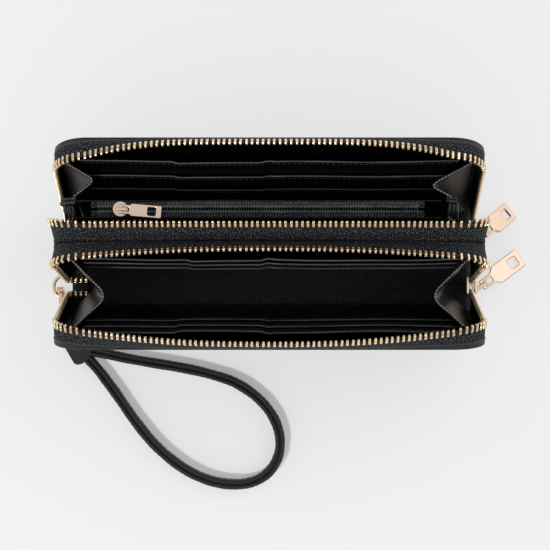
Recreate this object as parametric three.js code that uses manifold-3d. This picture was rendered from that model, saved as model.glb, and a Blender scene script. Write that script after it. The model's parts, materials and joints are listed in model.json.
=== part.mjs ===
// Double zip-around wristlet wallet, standing open on its spine.
// Millimetres. Origin: centre of the spine's flat underside. +Z up through the mouth,
// +X towards the end where the sliders park, +Y towards the coin-pocket compartment.

import * as THREE from 'three';
import { mergeVertices } from 'three/addons/utils/BufferGeometryUtils.js';
import Module from 'manifold-3d';

const wasm = await Module();
wasm.setup();

const deg = Math.PI / 180;

// ---- driving dimensions -------------------------------------------------

const halfLength = 102;        // the wallet is 204 mm long
const leafHeight = 93;         // cover height above its foot
const cornerRadius = 16;
const compartment = 25;        // depth of each zipped compartment at the spine
const footHeight = 3;          // hinge line of the leaves above the underside
const gap = 0.3;               // air between pieces that touch

const frontLean = -10 * deg;   // tilt of each leaf towards +Y
const wallLean = 5.5 * deg;
const backLean = 18.5 * deg;

const coverFace = 0.6;         // the cover's inner face, from the leaf's own plane
const coverBack = 1.0;
const wallFace = 1.0;
const liningThickness = 0.6;
const liningInset = 2;

const tierThickness = 0.8;
const tierHalfWidth = 89;
const tierFoot = 8;
// height of each tier's top and how far it stands off its leaf's plane there
const tierTops = {
  front: [[84, 5.4], [71, 5.9], [58, 6.4]],
  wall_front: [[84, 7.5], [71, 8.2], [58, 8.9]],
  back: [[84, 5.3], [66, 5.7], [50, 6.2]],
};

const borderWidth = 3.8;       // turned leather edge
const borderThickness = 1.2;
const borderRoot = { sunk: 0.8, lift: 1.1, roll: 0.5 };   // how the edge leaves its wall's face
const tapeWidth = 2.9;         // woven tape showing beside the teeth
const tapeThickness = 0.8;
const teethWidth = 3.5;
const teethThickness = 2.4;
const tailHeight = 7;          // height above the foot of the rows' inward tail
const tailLength = 10;
const tailRadius = 3;
const rowFoot = 4;             // lower end of the rows at the slider end

const spineThickness = 2;

// ---- materials ----------------------------------------------------------

const finish = (color, roughness, metalness = 0) =>
  new THREE.MeshStandardMaterial({ color, roughness, metalness });

const leather = () => finish(0x17171a, 0.5);
const liningCloth = () => finish(0x08090b, 0.4);
const gussetCloth = () => finish(0x2c2c2e, 0.45);
const twill = () => finish(0x222326, 0.9);
const nylon = () => finish(0x1a1c1e, 0.6);
const paleGold = () => finish(0xd9c39a, 0.3, 1);
const roseGold = () => finish(0xe6c6b0, 0.25, 1);

// ---- shape helpers ------------------------------------------------------

const piece = (name, geometry, material) => {
  const mesh = new THREE.Mesh(geometry, material);
  mesh.name = name;
  return mesh;
};

const indexed = (geometry) => {
  geometry.deleteAttribute('normal');
  geometry.deleteAttribute('uv');
  return mergeVertices(geometry, 1e-4);
};

// A flat panel in the XZ plane, from y = low to y = high.
const panel = (shape, low, high) => {
  const geometry = new THREE.ExtrudeGeometry(shape, {
    depth: high - low,
    bevelEnabled: false,
    curveSegments: 6,
  });
  geometry.rotateX(Math.PI / 2);
  geometry.translate(0, high, 0);
  return geometry;
};

const boxBetween = (low, high) => {
  const geometry = new THREE.BoxGeometry(high[0] - low[0], high[1] - low[1], high[2] - low[2]);
  geometry.translate((low[0] + high[0]) / 2, (low[1] + high[1]) / 2, (low[2] + high[2]) / 2);
  return geometry;
};

const rectangle = (x0, y0, x1, y1, make = THREE.Shape) => {
  const outline = new make();
  outline.moveTo(x0, y0);
  outline.lineTo(x1, y0);
  outline.lineTo(x1, y1);
  outline.lineTo(x0, y1);
  outline.closePath();
  return outline;
};

// Square foot, rounded top corners.
const leafShape = (halfWidth, foot, top, radius) => {
  const shape = new THREE.Shape();
  shape.moveTo(-halfWidth, foot);
  shape.lineTo(halfWidth, foot);
  shape.lineTo(halfWidth, top - radius);
  shape.absarc(halfWidth - radius, top - radius, radius, 0, Math.PI / 2, false);
  shape.lineTo(radius - halfWidth, top);
  shape.absarc(radius - halfWidth, top - radius, radius, Math.PI / 2, Math.PI, false);
  shape.closePath();
  return shape;
};

const fromFaces = (vertices, faces) => {
  const geometry = new THREE.BufferGeometry();
  const flat = vertices.flatMap((v) => [v.x, v.y, v.z]);
  geometry.setAttribute('position', new THREE.Float32BufferAttribute(flat, 3));
  let volume = 0;
  for (const [a, b, c] of faces) {
    volume += vertices[a].dot(vertices[b].clone().cross(vertices[c]));
  }
  const outward = volume > 0 ? faces : faces.map(([a, b, c]) => [a, c, b]);
  geometry.setIndex(outward.flat());
  geometry.computeVertexNormals();
  return geometry;
};

// A closed sheet of even thickness: centre[i][j] is its middle surface and
// across[i][j] the unit direction of its thickness there.
const thickSheet = (centre, across, thickness) => {
  const rows = centre.length;
  const columns = centre[0].length;
  const vertices = [];
  for (const side of [0.5, -0.5]) {
    for (let i = 0; i < rows; i++) {
      for (let j = 0; j < columns; j++) {
        vertices.push(centre[i][j].clone().addScaledVector(across[i][j], side * thickness));
      }
    }
  }
  const at = (side, i, j) => side * rows * columns + i * columns + j;
  const faces = [];
  const quad = (a, b, c, d) => faces.push([a, b, c], [a, c, d]);
  for (let i = 0; i < rows - 1; i++) {
    for (let j = 0; j < columns - 1; j++) {
      quad(at(0, i, j), at(0, i + 1, j), at(0, i + 1, j + 1), at(0, i, j + 1));
      quad(at(1, i, j), at(1, i, j + 1), at(1, i + 1, j + 1), at(1, i + 1, j));
    }
    quad(at(0, i + 1, 0), at(0, i, 0), at(1, i, 0), at(1, i + 1, 0));
    const last = columns - 1;
    quad(at(0, i, last), at(0, i + 1, last), at(1, i + 1, last), at(1, i, last));
  }
  for (let j = 0; j < columns - 1; j++) {
    quad(at(0, 0, j), at(0, 0, j + 1), at(1, 0, j + 1), at(1, 0, j));
    const end = rows - 1;
    quad(at(0, end, j + 1), at(0, end, j), at(1, end, j), at(1, end, j + 1));
  }
  return fromFaces(vertices, faces);
};

// A round wire bent into a closed flat loop whose plane has the given normal.
const wireLoop = (points, normal, radius, sides) => {
  const count = points.length;
  const vertices = [];
  const faces = [];
  points.forEach((point, i) => {
    const ahead = points[(i + 1) % count];
    const behind = points[(i + count - 1) % count];
    const side = ahead.clone().sub(behind).normalize().cross(normal);
    for (let k = 0; k < sides; k++) {
      const turn = (2 * Math.PI * k) / sides;
      const vertex = point.clone().addScaledVector(side, radius * Math.cos(turn));
      vertices.push(vertex.addScaledVector(normal, radius * Math.sin(turn)));
      const next = (i + 1) % count;
      const following = (k + 1) % sides;
      const [a, b] = [i * sides + k, i * sides + following];
      const [c, d] = [next * sides + k, next * sides + following];
      faces.push([a, b, d], [a, d, c]);
    }
  });
  return fromFaces(vertices, faces);
};

const solid = (geometry) => {
  const merged = indexed(geometry.clone());
  return new wasm.Manifold(new wasm.Mesh({
    numProp: 3,
    vertProperties: Float32Array.from(merged.attributes.position.array),
    triVerts: Uint32Array.from(merged.index.array),
  }));
};

const toGeometry = (manifold) => {
  const mesh = manifold.getMesh();
  const geometry = new THREE.BufferGeometry();
  geometry.setAttribute('position', new THREE.BufferAttribute(mesh.vertProperties, 3));
  geometry.setIndex(new THREE.BufferAttribute(mesh.triVerts, 1));
  geometry.computeVertexNormals();
  return geometry;
};

const joined = (geometries) => toGeometry(geometries.map(solid).reduce((a, b) => a.add(b)));
const cut = (geometry, tool) => toGeometry(solid(geometry).subtract(solid(tool)));

// ---- rim rows: leather edge, tape and teeth round each leaf -----------------

// The route of a rim in the leaf's plane: inward tail, up the strap end, along the
// mouth and down to the sliders. n is the in-plane outward direction. mouth runs from
// 0 at the middle of the mouth to 1 at its ends, and side from 0 there to 1 round the corner.
const rimRoute = () => {
  const route = [];
  const add = (x, z, turn, mouth, side) =>
    route.push({ x, z, nx: Math.cos(turn), nz: Math.sin(turn), mouth, side });
  const arc = (cx, cz, radius, from, to, steps, sideAt) => {
    for (let i = 0; i <= steps; i++) {
      const turn = from + ((to - from) * i) / steps;
      add(cx + radius * Math.cos(turn), cz + radius * Math.sin(turn), turn, 1, sideAt(i / steps));
    }
  };
  const straight = halfLength - cornerRadius;
  const shoulder = leafHeight - cornerRadius;
  const tailX = tailRadius - halfLength;
  add(-halfLength + tailLength, tailHeight, -Math.PI / 2, 1, 1);
  arc(tailX, tailHeight + tailRadius, tailRadius, -Math.PI / 2, -Math.PI, 3, () => 1);
  arc(-straight, shoulder, cornerRadius, Math.PI, Math.PI / 2, 5, (share) => 1 - share);
  const mouthSteps = 14;
  for (let i = 1; i < mouthSteps; i++) {
    const x = straight * ((2 * i) / mouthSteps - 1);
    add(x, leafHeight, Math.PI / 2, (Math.abs(x) / straight) ** 1.7, 0);
  }
  arc(straight, shoulder, cornerRadius, Math.PI / 2, 0, 5, (share) => share);
  add(halfLength, rowFoot, 0, 1, 1);
  return route;
};

// Each rim stands square to its leaf at the foot; along the mouth it flares up by
// the stated angles, first the leather, then the tape with its teeth.
const rims = {
  front: { facing: 1, face: coverFace, leatherMid: 80, tapeMid: 45, leatherEnd: 0, tapeEnd: 0 },
  wall_front: { facing: -1, face: wallFace, leatherMid: 75, tapeMid: 37, leatherEnd: 0, tapeEnd: 0 },
  wall_back: { facing: 1, face: wallFace, leatherMid: 55, tapeMid: 35, leatherEnd: 68, tapeEnd: 42 },
  back: { facing: -1, face: coverFace, leatherMid: 80, tapeMid: 40, leatherEnd: 0, tapeEnd: 0 },
};

const mix = (a, b, share) => a + (b - a) * share;

// Points of one strip of a rim, between the distances from and to across the rim.
const rimStrip = (rim, part, from, to, thickness) => {
  const centre = [];
  const across = [];
  for (const step of rimRoute()) {
    const lean = (mid, end) => deg * mix(mix(mid, end, step.mouth), 0, step.side);
    const leatherTurn = lean(rim.leatherMid, rim.leatherEnd);
    const tapeTurn = lean(rim.tapeMid, rim.tapeEnd);
    // out is measured along n, inward away from the leaf's plane
    const start = {
      out: -borderThickness / 2 + Math.sin(leatherTurn),
      inward: rim.face - borderRoot.sunk + borderRoot.lift * Math.cos(leatherTurn)
        + borderRoot.roll * Math.sin(2 * leatherTurn),
    };
    const elbow = {
      out: start.out + borderWidth * Math.sin(leatherTurn),
      inward: start.inward + borderWidth * Math.cos(leatherTurn),
    };
    const turn = part === 'leather' ? leatherTurn : tapeTurn;
    const base = part === 'leather' ? start : elbow;
    const place = (distance) => {
      const out = base.out + distance * Math.sin(turn);
      const inward = base.inward + distance * Math.cos(turn);
      return new THREE.Vector3(step.x + out * step.nx, rim.facing * inward, step.z + out * step.nz);
    };
    const thick = new THREE.Vector3(
      Math.cos(turn) * step.nx,
      -rim.facing * Math.sin(turn),
      Math.cos(turn) * step.nz,
    );
    centre.push([place(from), place(to)]);
    across.push([thick, thick]);
  }
  return thickSheet(centre, across, thickness);
};

const rimPieces = (name) => {
  const rim = rims[name];
  const bend = 0.5;   // the tape starts clear of the leather's folded edge
  const teethStart = bend + tapeWidth + gap;
  return [
    piece(`${name}_border`, rimStrip(rim, 'leather', 0, borderWidth - gap, borderThickness), leather()),
    piece(`${name}_zip_tape`, rimStrip(rim, 'tape', bend, bend + tapeWidth, tapeThickness), twill()),
    piece(
      `${name}_zip_teeth`,
      rimStrip(rim, 'tape', teethStart, teethStart + teethWidth - bend, teethThickness),
      paleGold(),
    ),
  ];
};

// ---- leaves -------------------------------------------------------------

const leaf = (y, lean) => {
  const group = new THREE.Group();
  group.position.set(0, y, footHeight);
  group.rotation.x = -lean;
  return group;
};

// The lining stands on the rows' tail and stops short of the leaf's edge.
const liningShape = () =>
  leafShape(halfLength - liningInset, tailHeight + borderThickness + gap, leafHeight - liningInset,
    cornerRadius - liningInset);

// Three stepped card pockets, the tallest against the lining, all slouching off the wall.
const cardTiers = (name, facing, firstFace) =>
  tierTops[name].map(([top, standOff], i) => {
    const root = firstFace + gap + i * (tierThickness + gap) + tierThickness / 2;
    const ends = [[tierFoot, root], [top, standOff]];
    const centre = ends.map(([z, off]) =>
      [-tierHalfWidth, tierHalfWidth].map((x) => new THREE.Vector3(x, facing * off, z)));
    const across = new THREE.Vector3(0, top - tierFoot, -facing * (standOff - root)).normalize();
    const sheet = thickSheet(centre, [[across, across], [across, across]], tierThickness);
    return piece(`${name}_card_tier_${i + 1}`, sheet, liningCloth());
  });

const cover = (name, facing, y, lean) => {
  const group = leaf(y, lean);
  const shell = [-facing * coverBack, facing * coverFace].sort((a, b) => a - b);
  const outline = leafShape(halfLength, 0, leafHeight, cornerRadius);
  group.add(piece(`${name}_cover`, panel(outline, ...shell), leather()));
  const liningFace = coverFace + gap + liningThickness;
  const lining = [facing * (coverFace + gap), facing * liningFace].sort((a, b) => a - b);
  group.add(piece(`${name}_lining`, panel(liningShape(), ...lining), liningCloth()));
  group.add(...rimPieces(name));
  group.add(...cardTiers(name, facing, liningFace));
  return group;
};

const middleWall = () => {
  const group = leaf(0, wallLean);
  const outline = leafShape(halfLength, 0, leafHeight, cornerRadius);
  group.add(piece('middle_wall', panel(outline, -wallFace, wallFace), leather()));
  const liningFace = wallFace + gap + liningThickness;
  group.add(piece(
    'wall_back_lining',
    panel(liningShape(), wallFace + gap, liningFace),
    liningCloth(),
  ));
  group.add(...rimPieces('wall_front'));
  group.add(...rimPieces('wall_back'));
  group.add(...cardTiers('wall_front', -1, wallFace));
  return group;
};

const spine = () => {
  const low = [-halfLength + 3, -compartment - 1, 0];
  const high = [halfLength - 3, compartment + 1, spineThickness];
  return piece('spine_base', boxBetween(low, high), leather());
};

// ---- coin pocket --------------------------------------------------------

const coin = {
  left: -91,
  right: 81,
  foot: 12.5,        // Y at the spine
  top: 24,           // Y at its zip
  height: 84.5,
  halfMouth: 3.4,
  zipLeft: -81,
  zipRight: 70,
  sliderX: -70,
  wall: 0.6,         // thickness of the walls and of the tapes
  wallFoot: 5,
  footHalf: 0.9,     // half the space between the walls at the spine
  coil: { near: 0.5, far: 2, foot: 0.9, top: 2.3 },
};

const coinWall = (side) => {
  const bottom = { y: coin.foot + side * coin.footHalf, z: coin.wallFoot };
  const top = { y: coin.top + side * (coin.halfMouth + coin.wall), z: coin.height + coin.wall + gap };
  const line = (p) => [coin.left, coin.right].map((x) => new THREE.Vector3(x, p.y, p.z));
  const across = new THREE.Vector3(0, top.z - bottom.z, bottom.y - top.y).normalize();
  return thickSheet([line(bottom), line(top)], [[across, across], [across, across]], coin.wall);
};

const coinZip = (side) => {
  const edge = (near, far) => [coin.top + side * near, coin.top + side * far].sort((a, b) => a - b);
  const [tapeLow, tapeHigh] = edge(coin.footHalf, coin.halfMouth - 0.1);
  const [coilLow, coilHigh] = edge(coin.coil.near, coin.coil.far);
  const name = side > 0 ? 'back' : 'front';
  return [
    piece(
      `coin_zip_tape_${name}`,
      boxBetween([coin.zipLeft, tapeLow, coin.height], [coin.zipRight, tapeHigh, coin.height + coin.wall]),
      twill(),
    ),
    piece(
      `coin_zip_coil_${name}`,
      boxBetween(
        [coin.zipLeft, coilLow, coin.height + coin.coil.foot],
        [coin.zipRight, coilHigh, coin.height + coin.coil.top],
      ),
      nylon(),
    ),
  ];
};

// ---- gussets: folded fans at the ends of each compartment ------------------

const gussetThickness = 0.8;
const foldRound = 0.12;        // share of each side taken up by the rounded crease

// A fan folds inwards: start and end lie on the two walls, fold on its crease.
const fan = (name, low, high) => {
  const points = ({ start, fold, end, z }) => {
    const at = ([x, y]) => new THREE.Vector3(x, y, z);
    const near = (p, share) => at([mix(fold[0], p[0], share), mix(fold[1], p[1], share)]);
    return [at(start), near(start, foldRound), near(end, foldRound), at(end)];
  };
  const centre = [points(low), points(high)];
  const across = centre.map((line) => line.map((_, j) => {
    const ahead = line[Math.min(j + 1, line.length - 1)];
    const behind = line[Math.max(j - 1, 0)];
    const along = ahead.clone().sub(behind);
    return new THREE.Vector3(-along.y, along.x, 0).normalize();
  }));
  return piece(name, thickSheet(centre, across, gussetThickness), gussetCloth());
};

const fanFoot = 17;
const fanTop = 79;

const gussets = () => [
  fan(
    'front_gusset_left',
    { start: [-97, -23.5], fold: [-87, -13], end: [-97, -2.5], z: fanFoot },
    { start: [-96, -35], fold: [-76.5, -17], end: [-97, 3.6], z: fanTop },
  ),
  fan(
    'front_gusset_right',
    { start: [97, -23.5], fold: [87, -13], end: [97, -2.5], z: fanFoot },
    { start: [96, -35], fold: [76, -17], end: [97, 3.6], z: fanTop },
  ),
  fan(
    'back_gusset_left',
    { start: [-97, 25.5], fold: [-91, 20.5], end: [-95.5, 15.8], z: fanFoot },
    { start: [-97, 46.5], fold: [-82.5, 38], end: [-93.5, 29.5], z: fanTop },
  ),
  fan(
    'back_gusset_right',
    { start: [97, 25.5], fold: [88, 20.5], end: [87, 15.8], z: fanFoot },
    { start: [96.5, 46.5], fold: [76, 35.5], end: [87.5, 29.3], z: fanTop },
  ),
  fan(
    'coin_gusset_left',
    { start: [-95.5, 13.4], fold: [-93, 8.5], end: [-97, 4.6], z: fanFoot },
    { start: [-94.5, 27.6], fold: [-93, 19.5], end: [-97, 11.2], z: fanTop },
  ),
  fan(
    'coin_gusset_right',
    { start: [86, 13.4], fold: [84.5, 8.5], end: [97, 4.6], z: fanFoot },
    { start: [86.5, 27.4], fold: [84, 20.5], end: [97, 11.2], z: fanTop },
  ),
];

// ---- outer sliders and pulls -----------------------------------------------

const sliderPlate = { near: 1.5, thickness: 1.2, halfLength: 4.5, halfWidth: 4.3 };
const bandX = halfLength - borderThickness / 2;    // middle of the rims' side runs
const archX = bandX + sliderPlate.near + sliderPlate.thickness + 3;    // hinge line of the pulls
const tipClearance = 0.55;     // from the teeth's tips to the middle of a slider
const arch = { inner: 1.7, outer: 2.8, opening: 2.5, half: 3.6, width: 2, reach: 4.1 };

// Tip of the middle wall's teeth at a height above the foot, on one side of the wall.
const wallTip = (facing, z) => {
  const reach = gap + borderWidth + gap + tapeWidth + gap + teethWidth + wallFace;
  return {
    y: facing * reach * Math.cos(wallLean) + z * Math.sin(wallLean),
    z: footHeight + z * Math.cos(wallLean) - facing * reach * Math.sin(wallLean),
  };
};

const outerSliders = {
  front: { facing: -1, height: 8, yaw: 36 * deg, pitch: 13.8 * deg },
  back: { facing: 1, height: 18.5, yaw: 38.4 * deg, pitch: 42 * deg },
};

const sliderPlace = ({ facing, height }) => {
  const tip = wallTip(facing, (height - footHeight) / Math.cos(wallLean));
  return new THREE.Vector3(archX, tip.y + facing * tipClearance, height);
};

// The arch that a pull hangs on, in its own frame: x away from the slider, z along the chain.
const archLoop = ({ inner, outer, opening, half, width, reach }) => {
  const shape = new THREE.Shape();
  shape.moveTo(-reach, -half);
  shape.lineTo(outer, -half);
  shape.lineTo(outer, half);
  shape.lineTo(-reach, half);
  shape.lineTo(-reach, opening);
  shape.lineTo(inner, opening);
  shape.lineTo(inner, -opening);
  shape.lineTo(-reach, -opening);
  shape.closePath();
  return panel(shape, -width / 2, width / 2);
};

const outerSlider = (name, setting) => {
  const { near, thickness, halfLength: half, halfWidth } = sliderPlate;
  const place = sliderPlace(setting);
  const plate = (low, high) =>
    boxBetween([low - archX, -halfWidth, -half], [high - archX, halfWidth, half]);
  const web = 0.2;
  const loop = archLoop(arch);
  loop.rotateZ(setting.yaw);
  const geometry = joined([
    plate(bandX + near, bandX + near + thickness),
    plate(bandX - near - thickness, bandX - near),
    boxBetween([bandX - near - 0.5 - archX, -web, 0], [bandX + near + 0.5 - archX, web, half]),
    loop,
  ]);
  const mesh = piece(`${name}_slider`, geometry, paleGold());
  mesh.position.copy(place);
  return mesh;
};

// A flat pull lying along +x with its slot round the arch at the origin.
const pullPlate = ({ bar, slot, slotHalf, neck, shoulder, half, length, hole, holeHalf, thickness }) => {
  const shape = new THREE.Shape();
  const round = 1;
  shape.moveTo(-bar, -neck);
  shape.lineTo(slot + 0.5, -neck);
  shape.lineTo(shoulder, -half);
  shape.lineTo(length - round, -half);
  shape.absarc(length - round, round - half, round, -Math.PI / 2, 0, false);
  shape.absarc(length - round, half - round, round, 0, Math.PI / 2, false);
  shape.lineTo(shoulder, half);
  shape.lineTo(slot + 0.5, neck);
  shape.lineTo(-bar, neck);
  shape.closePath();
  shape.holes.push(rectangle(bar, -slotHalf, slot, slotHalf, THREE.Path));
  shape.holes.push(rectangle(hole, -holeHalf, hole + 2 * holeHalf, holeHalf, THREE.Path));
  const geometry = new THREE.ExtrudeGeometry(shape, {
    depth: thickness,
    bevelEnabled: false,
    curveSegments: 3,
  });
  geometry.translate(0, 0, -thickness / 2);
  return geometry;
};

const outerPull = {
  bar: 0.8, slot: 5.9, slotHalf: 1.5, neck: 2.7, shoulder: 9, half: 5,
  length: 24.8, hole: 17.2, holeHalf: 2.5, thickness: 1.8,
};

const hungPull = (name, plate, place, yaw, pitch) => {
  const mesh = piece(name, pullPlate(plate), roseGold());
  mesh.position.copy(place);
  mesh.rotation.set(0, pitch, yaw, 'ZYX');
  return mesh;
};

const stop = { half: 1.1, halfWidth: 2, foot: 3, top: 5.4, level: 1.5 };

const bottomStop = (name, { facing }) => {
  const tip = wallTip(facing, stop.level);
  const y = tip.y + facing * tipClearance;
  return piece(
    `${name}_bottom_stop`,
    boxBetween(
      [bandX - stop.half, y - stop.halfWidth, stop.foot],
      [bandX + stop.half, y + stop.halfWidth, stop.top],
    ),
    paleGold(),
  );
};

// ---- coin slider ---------------------------------------------------------

const coinYaw = -5 * deg;
const coinArch = { inner: 1.1, outer: 2.1, opening: 2, half: 3, width: 1.4, reach: 2.2 };
const coinPull = {
  bar: 0.6, slot: 4.1, slotHalf: 1.1, neck: 2.2, shoulder: 5.2, half: 3,
  length: 19.4, hole: 12.8, holeHalf: 2, thickness: 1.3,
};
const coinHinge = new THREE.Vector3(coin.sliderX, coin.top, coin.height + 5.9);

const coinSlider = () => {
  const top = -1.6;            // the upper plate's face below the hinge line
  const plateThickness = 1.2;
  const plate = (z, radius) => {
    const disc = new THREE.CylinderGeometry(radius, radius, plateThickness, 16);
    disc.rotateX(Math.PI / 2);
    disc.translate(0, 0, z);
    return disc;
  };
  const upper = plate(top - plateThickness / 2, 3.6);
  const below = coin.height - 0.5 - coinHinge.z;
  const lower = plate(below - plateThickness / 2, 2.4);
  const web = boxBetween([-2, -0.2, below - 0.4], [2, 0.2, top - 0.4]);
  const loop = archLoop(coinArch);
  loop.rotateY(-Math.PI / 2);
  loop.rotateZ(coinYaw);
  const mesh = piece('coin_slider', joined([upper, lower, web, loop]), roseGold());
  mesh.position.copy(coinHinge);
  return mesh;
};

// ---- strap hardware ------------------------------------------------------

const ring = { bar: -97.5, y: -13, z: 4.5, half: 6, centre: -103, wire: 0.9 };

const ringTab = () => {
  const shape = new THREE.Shape();
  const outer = 2.1;
  shape.absarc(0, 0, outer, Math.PI / 2, (3 * Math.PI) / 2, false);
  shape.lineTo(6, -outer);
  shape.lineTo(6, outer);
  shape.closePath();
  const eye = new THREE.Path();
  eye.absarc(0, 0, ring.wire + gap, 0, 2 * Math.PI, true);
  shape.holes.push(eye);
  const geometry = panel(shape, -4, 4);
  const mesh = piece('ring_tab', geometry, leather());
  mesh.position.set(ring.bar, ring.y, ring.z);
  return mesh;
};

const dRing = () => {
  const points = [];
  const corner = 1.2;
  const reach = ring.bar - ring.centre;
  const at = (x, y) => points.push(new THREE.Vector3(x, y, 0));
  at(0, -ring.half + corner);
  at(0, ring.half - corner);
  at(-corner * 0.3, ring.half - corner * 0.3);
  at(-corner, ring.half);
  const steps = 14;
  for (let i = 0; i <= steps; i++) {
    const turn = Math.PI / 2 + (Math.PI * i) / steps;
    at(-reach + ring.half * Math.cos(turn), ring.half * Math.sin(turn));
  }
  at(-corner, -ring.half);
  at(-corner * 0.3, -ring.half + corner * 0.3);
  const mesh = piece('d_ring', wireLoop(points, new THREE.Vector3(0, 0, 1), ring.wire, 8), paleGold());
  mesh.position.set(ring.bar, ring.y, ring.z);
  return mesh;
};

// The clasp lies on its edge. s runs from the ring towards the strap.
const hookAngle = 250 * deg;
const clasp = {
  ringX: ring.centre + ring.half * Math.cos(hookAngle),
  ringY: ring.y + ring.half * Math.sin(hookAngle),
  turn: -84.3 * deg,
  ringAt: 2.4,       // s of the ring's wire
  foot: 0.4,
  top: 10,
  thickness: 3,
};

// A point of the clasp's middle plane in the wallet's frame.
const alongClasp = (s) => new THREE.Vector2(
  clasp.ringX + (s - clasp.ringAt) * Math.cos(clasp.turn),
  clasp.ringY + (s - clasp.ringAt) * Math.sin(clasp.turn),
);

const claspFrame = () => {
  const origin = alongClasp(0);
  const group = new THREE.Group();
  group.position.set(origin.x, origin.y, 0);
  group.rotation.z = clasp.turn;
  return group;
};

// The swivel's pin runs along the clasp, from the eye into a bore in the hook.
const swivel = { from: 10.8, z: 5.2, radius: 0.9 };

const swivelPin = (radius, to) => {
  const pin = new THREE.CylinderGeometry(radius, radius, to - swivel.from, 12);
  pin.rotateZ(Math.PI / 2);
  pin.translate((swivel.from + to) / 2, 0, swivel.z);
  return pin;
};

const claspHook = () => {
  const { foot, top, thickness } = clasp;
  const shape = new THREE.Shape();
  shape.moveTo(-3.4, foot + 2);
  shape.quadraticCurveTo(-3.4, foot, -1.4, foot);
  shape.lineTo(10.5, foot);
  shape.lineTo(13, foot + 2.6);
  shape.lineTo(13, top - 2.6);
  shape.lineTo(10.5, top);
  shape.lineTo(8, top);
  shape.lineTo(8, foot + 2.1);
  shape.lineTo(-1.3, foot + 2.1);
  shape.lineTo(-1.3, top - 2.4);
  shape.lineTo(-0.4, top - 1.8);
  shape.lineTo(-0.9, top);
  shape.quadraticCurveTo(-3.4, top, -3.4, top - 2.6);
  shape.closePath();
  const body = panel(shape, -thickness / 2, thickness / 2);
  return piece('clasp_hook', cut(body, swivelPin(swivel.radius + gap, 14)), roseGold());
};

const claspGate = () => {
  const shape = new THREE.Shape();
  const { top } = clasp;
  shape.moveTo(-0.1, top - 1.75);
  shape.lineTo(7.2, top - 1.9);
  shape.lineTo(7.2, top - 0.1);
  shape.lineTo(0.1, top - 0.1);
  shape.lineTo(-0.4, top - 0.4);
  shape.closePath();
  return piece('clasp_gate', panel(shape, -1.1, 1.1), roseGold());
};

const eye = { near: 13.4, far: 21.5, foot: 0.6, top: 9.8, wire: 1.7 };

const claspEye = () => {
  const shape = rectangle(eye.near, eye.foot, eye.far, eye.top);
  const inner = rectangle(
    eye.near + eye.wire, eye.foot + eye.wire, eye.far - eye.wire, eye.top - eye.wire, THREE.Path,
  );
  shape.holes.push(inner);
  const pin = swivelPin(swivel.radius, eye.near + 0.6);
  pin.translate(gap, 0, 0);
  return piece('clasp_eye', joined([panel(shape, -1, 1), pin]), roseGold());
};

// ---- wrist strap -----------------------------------------------------------

const strapZ = 5.3;
const strapHalfHeight = 5;
const strapHalfWidth = 2.4;

// Hand-chosen route of the strap's middle on the table, from the keeper and back to it.
const strapRoute = [
  [-88.3, -45.6], [-80.5, -47.2], [-70.5, -49.3], [-58.4, -51.4], [-46.3, -53.4],
  [-34.2, -55.9], [-22.1, -59.4], [-15.4, -62.4], [-8.2, -67.2], [-2.2, -73],
  [2, -79.2], [4.4, -85.4], [5.2, -91.8], [4.2, -98.4], [0.6, -105],
  [-5.2, -109.8], [-12.6, -112.2], [-20.6, -112.4], [-28.1, -111.2], [-34.2, -109.2],
  [-40.2, -106.4], [-46.8, -102.2], [-53.1, -97.2], [-59.2, -91.3], [-64.4, -85.1],
  [-69.2, -78.8], [-73.6, -72.4], [-77.9, -66.2], [-82.2, -60.4], [-86.4, -54.9],
  [-90.9, -49.9],
];

const strap = () => {
  const curve = new THREE.CatmullRomCurve3(
    strapRoute.map(([x, y]) => new THREE.Vector3(x, y, strapZ)),
  );
  // the section's x is vertical and its y horizontal once swept
  const soften = 1;
  const [h, w] = [strapHalfHeight, strapHalfWidth];
  const section = new THREE.Shape([
    [-h + soften, -w], [h - soften, -w], [h, -w + soften], [h, w - soften],
    [h - soften, w], [-h + soften, w], [-h, w - soften], [-h, -w + soften],
  ].map(([x, y]) => new THREE.Vector2(x, y)));
  const geometry = new THREE.ExtrudeGeometry(section, { steps: 60, extrudePath: curve });
  return piece('wrist_strap', geometry, leather());
};

// The keeper wraps the strap's two ends, and its tongue loops through the clasp's eye.
const keeperOutline = [
  [-104.4, -41], [-98.4, -51.4], [-96.6, -52.2], [-94.8, -51.8],
  [-90.2, -48.7], [-89.4, -43.6], [-94.5, -40.6], [-100.4, -38.6],
];

const strapKeeper = () => {
  const lift = 0.2;
  const wrap = new THREE.ExtrudeGeometry(
    new THREE.Shape(keeperOutline.map(([x, y]) => new THREE.Vector2(x, y))),
    { depth: 2 * strapHalfHeight, bevelEnabled: false },
  );
  wrap.translate(0, 0, lift);
  const bar = alongClasp(eye.far - eye.wire / 2);
  const loop = new THREE.Shape();
  loop.absarc(bar.x, bar.y, 3.2, 0, 2 * Math.PI, false);
  const hole = new THREE.Path();
  hole.absarc(bar.x, bar.y, 1.7, 0, 2 * Math.PI, true);
  loop.holes.push(hole);
  const tongue = new THREE.ExtrudeGeometry(loop, { depth: 4.8, bevelEnabled: false, curveSegments: 5 });
  tongue.translate(0, 0, eye.foot + eye.wire + 0.5);
  return piece('strap_keeper', joined([wrap, tongue]), leather());
};

// ---- the wallet ------------------------------------------------------------

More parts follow.
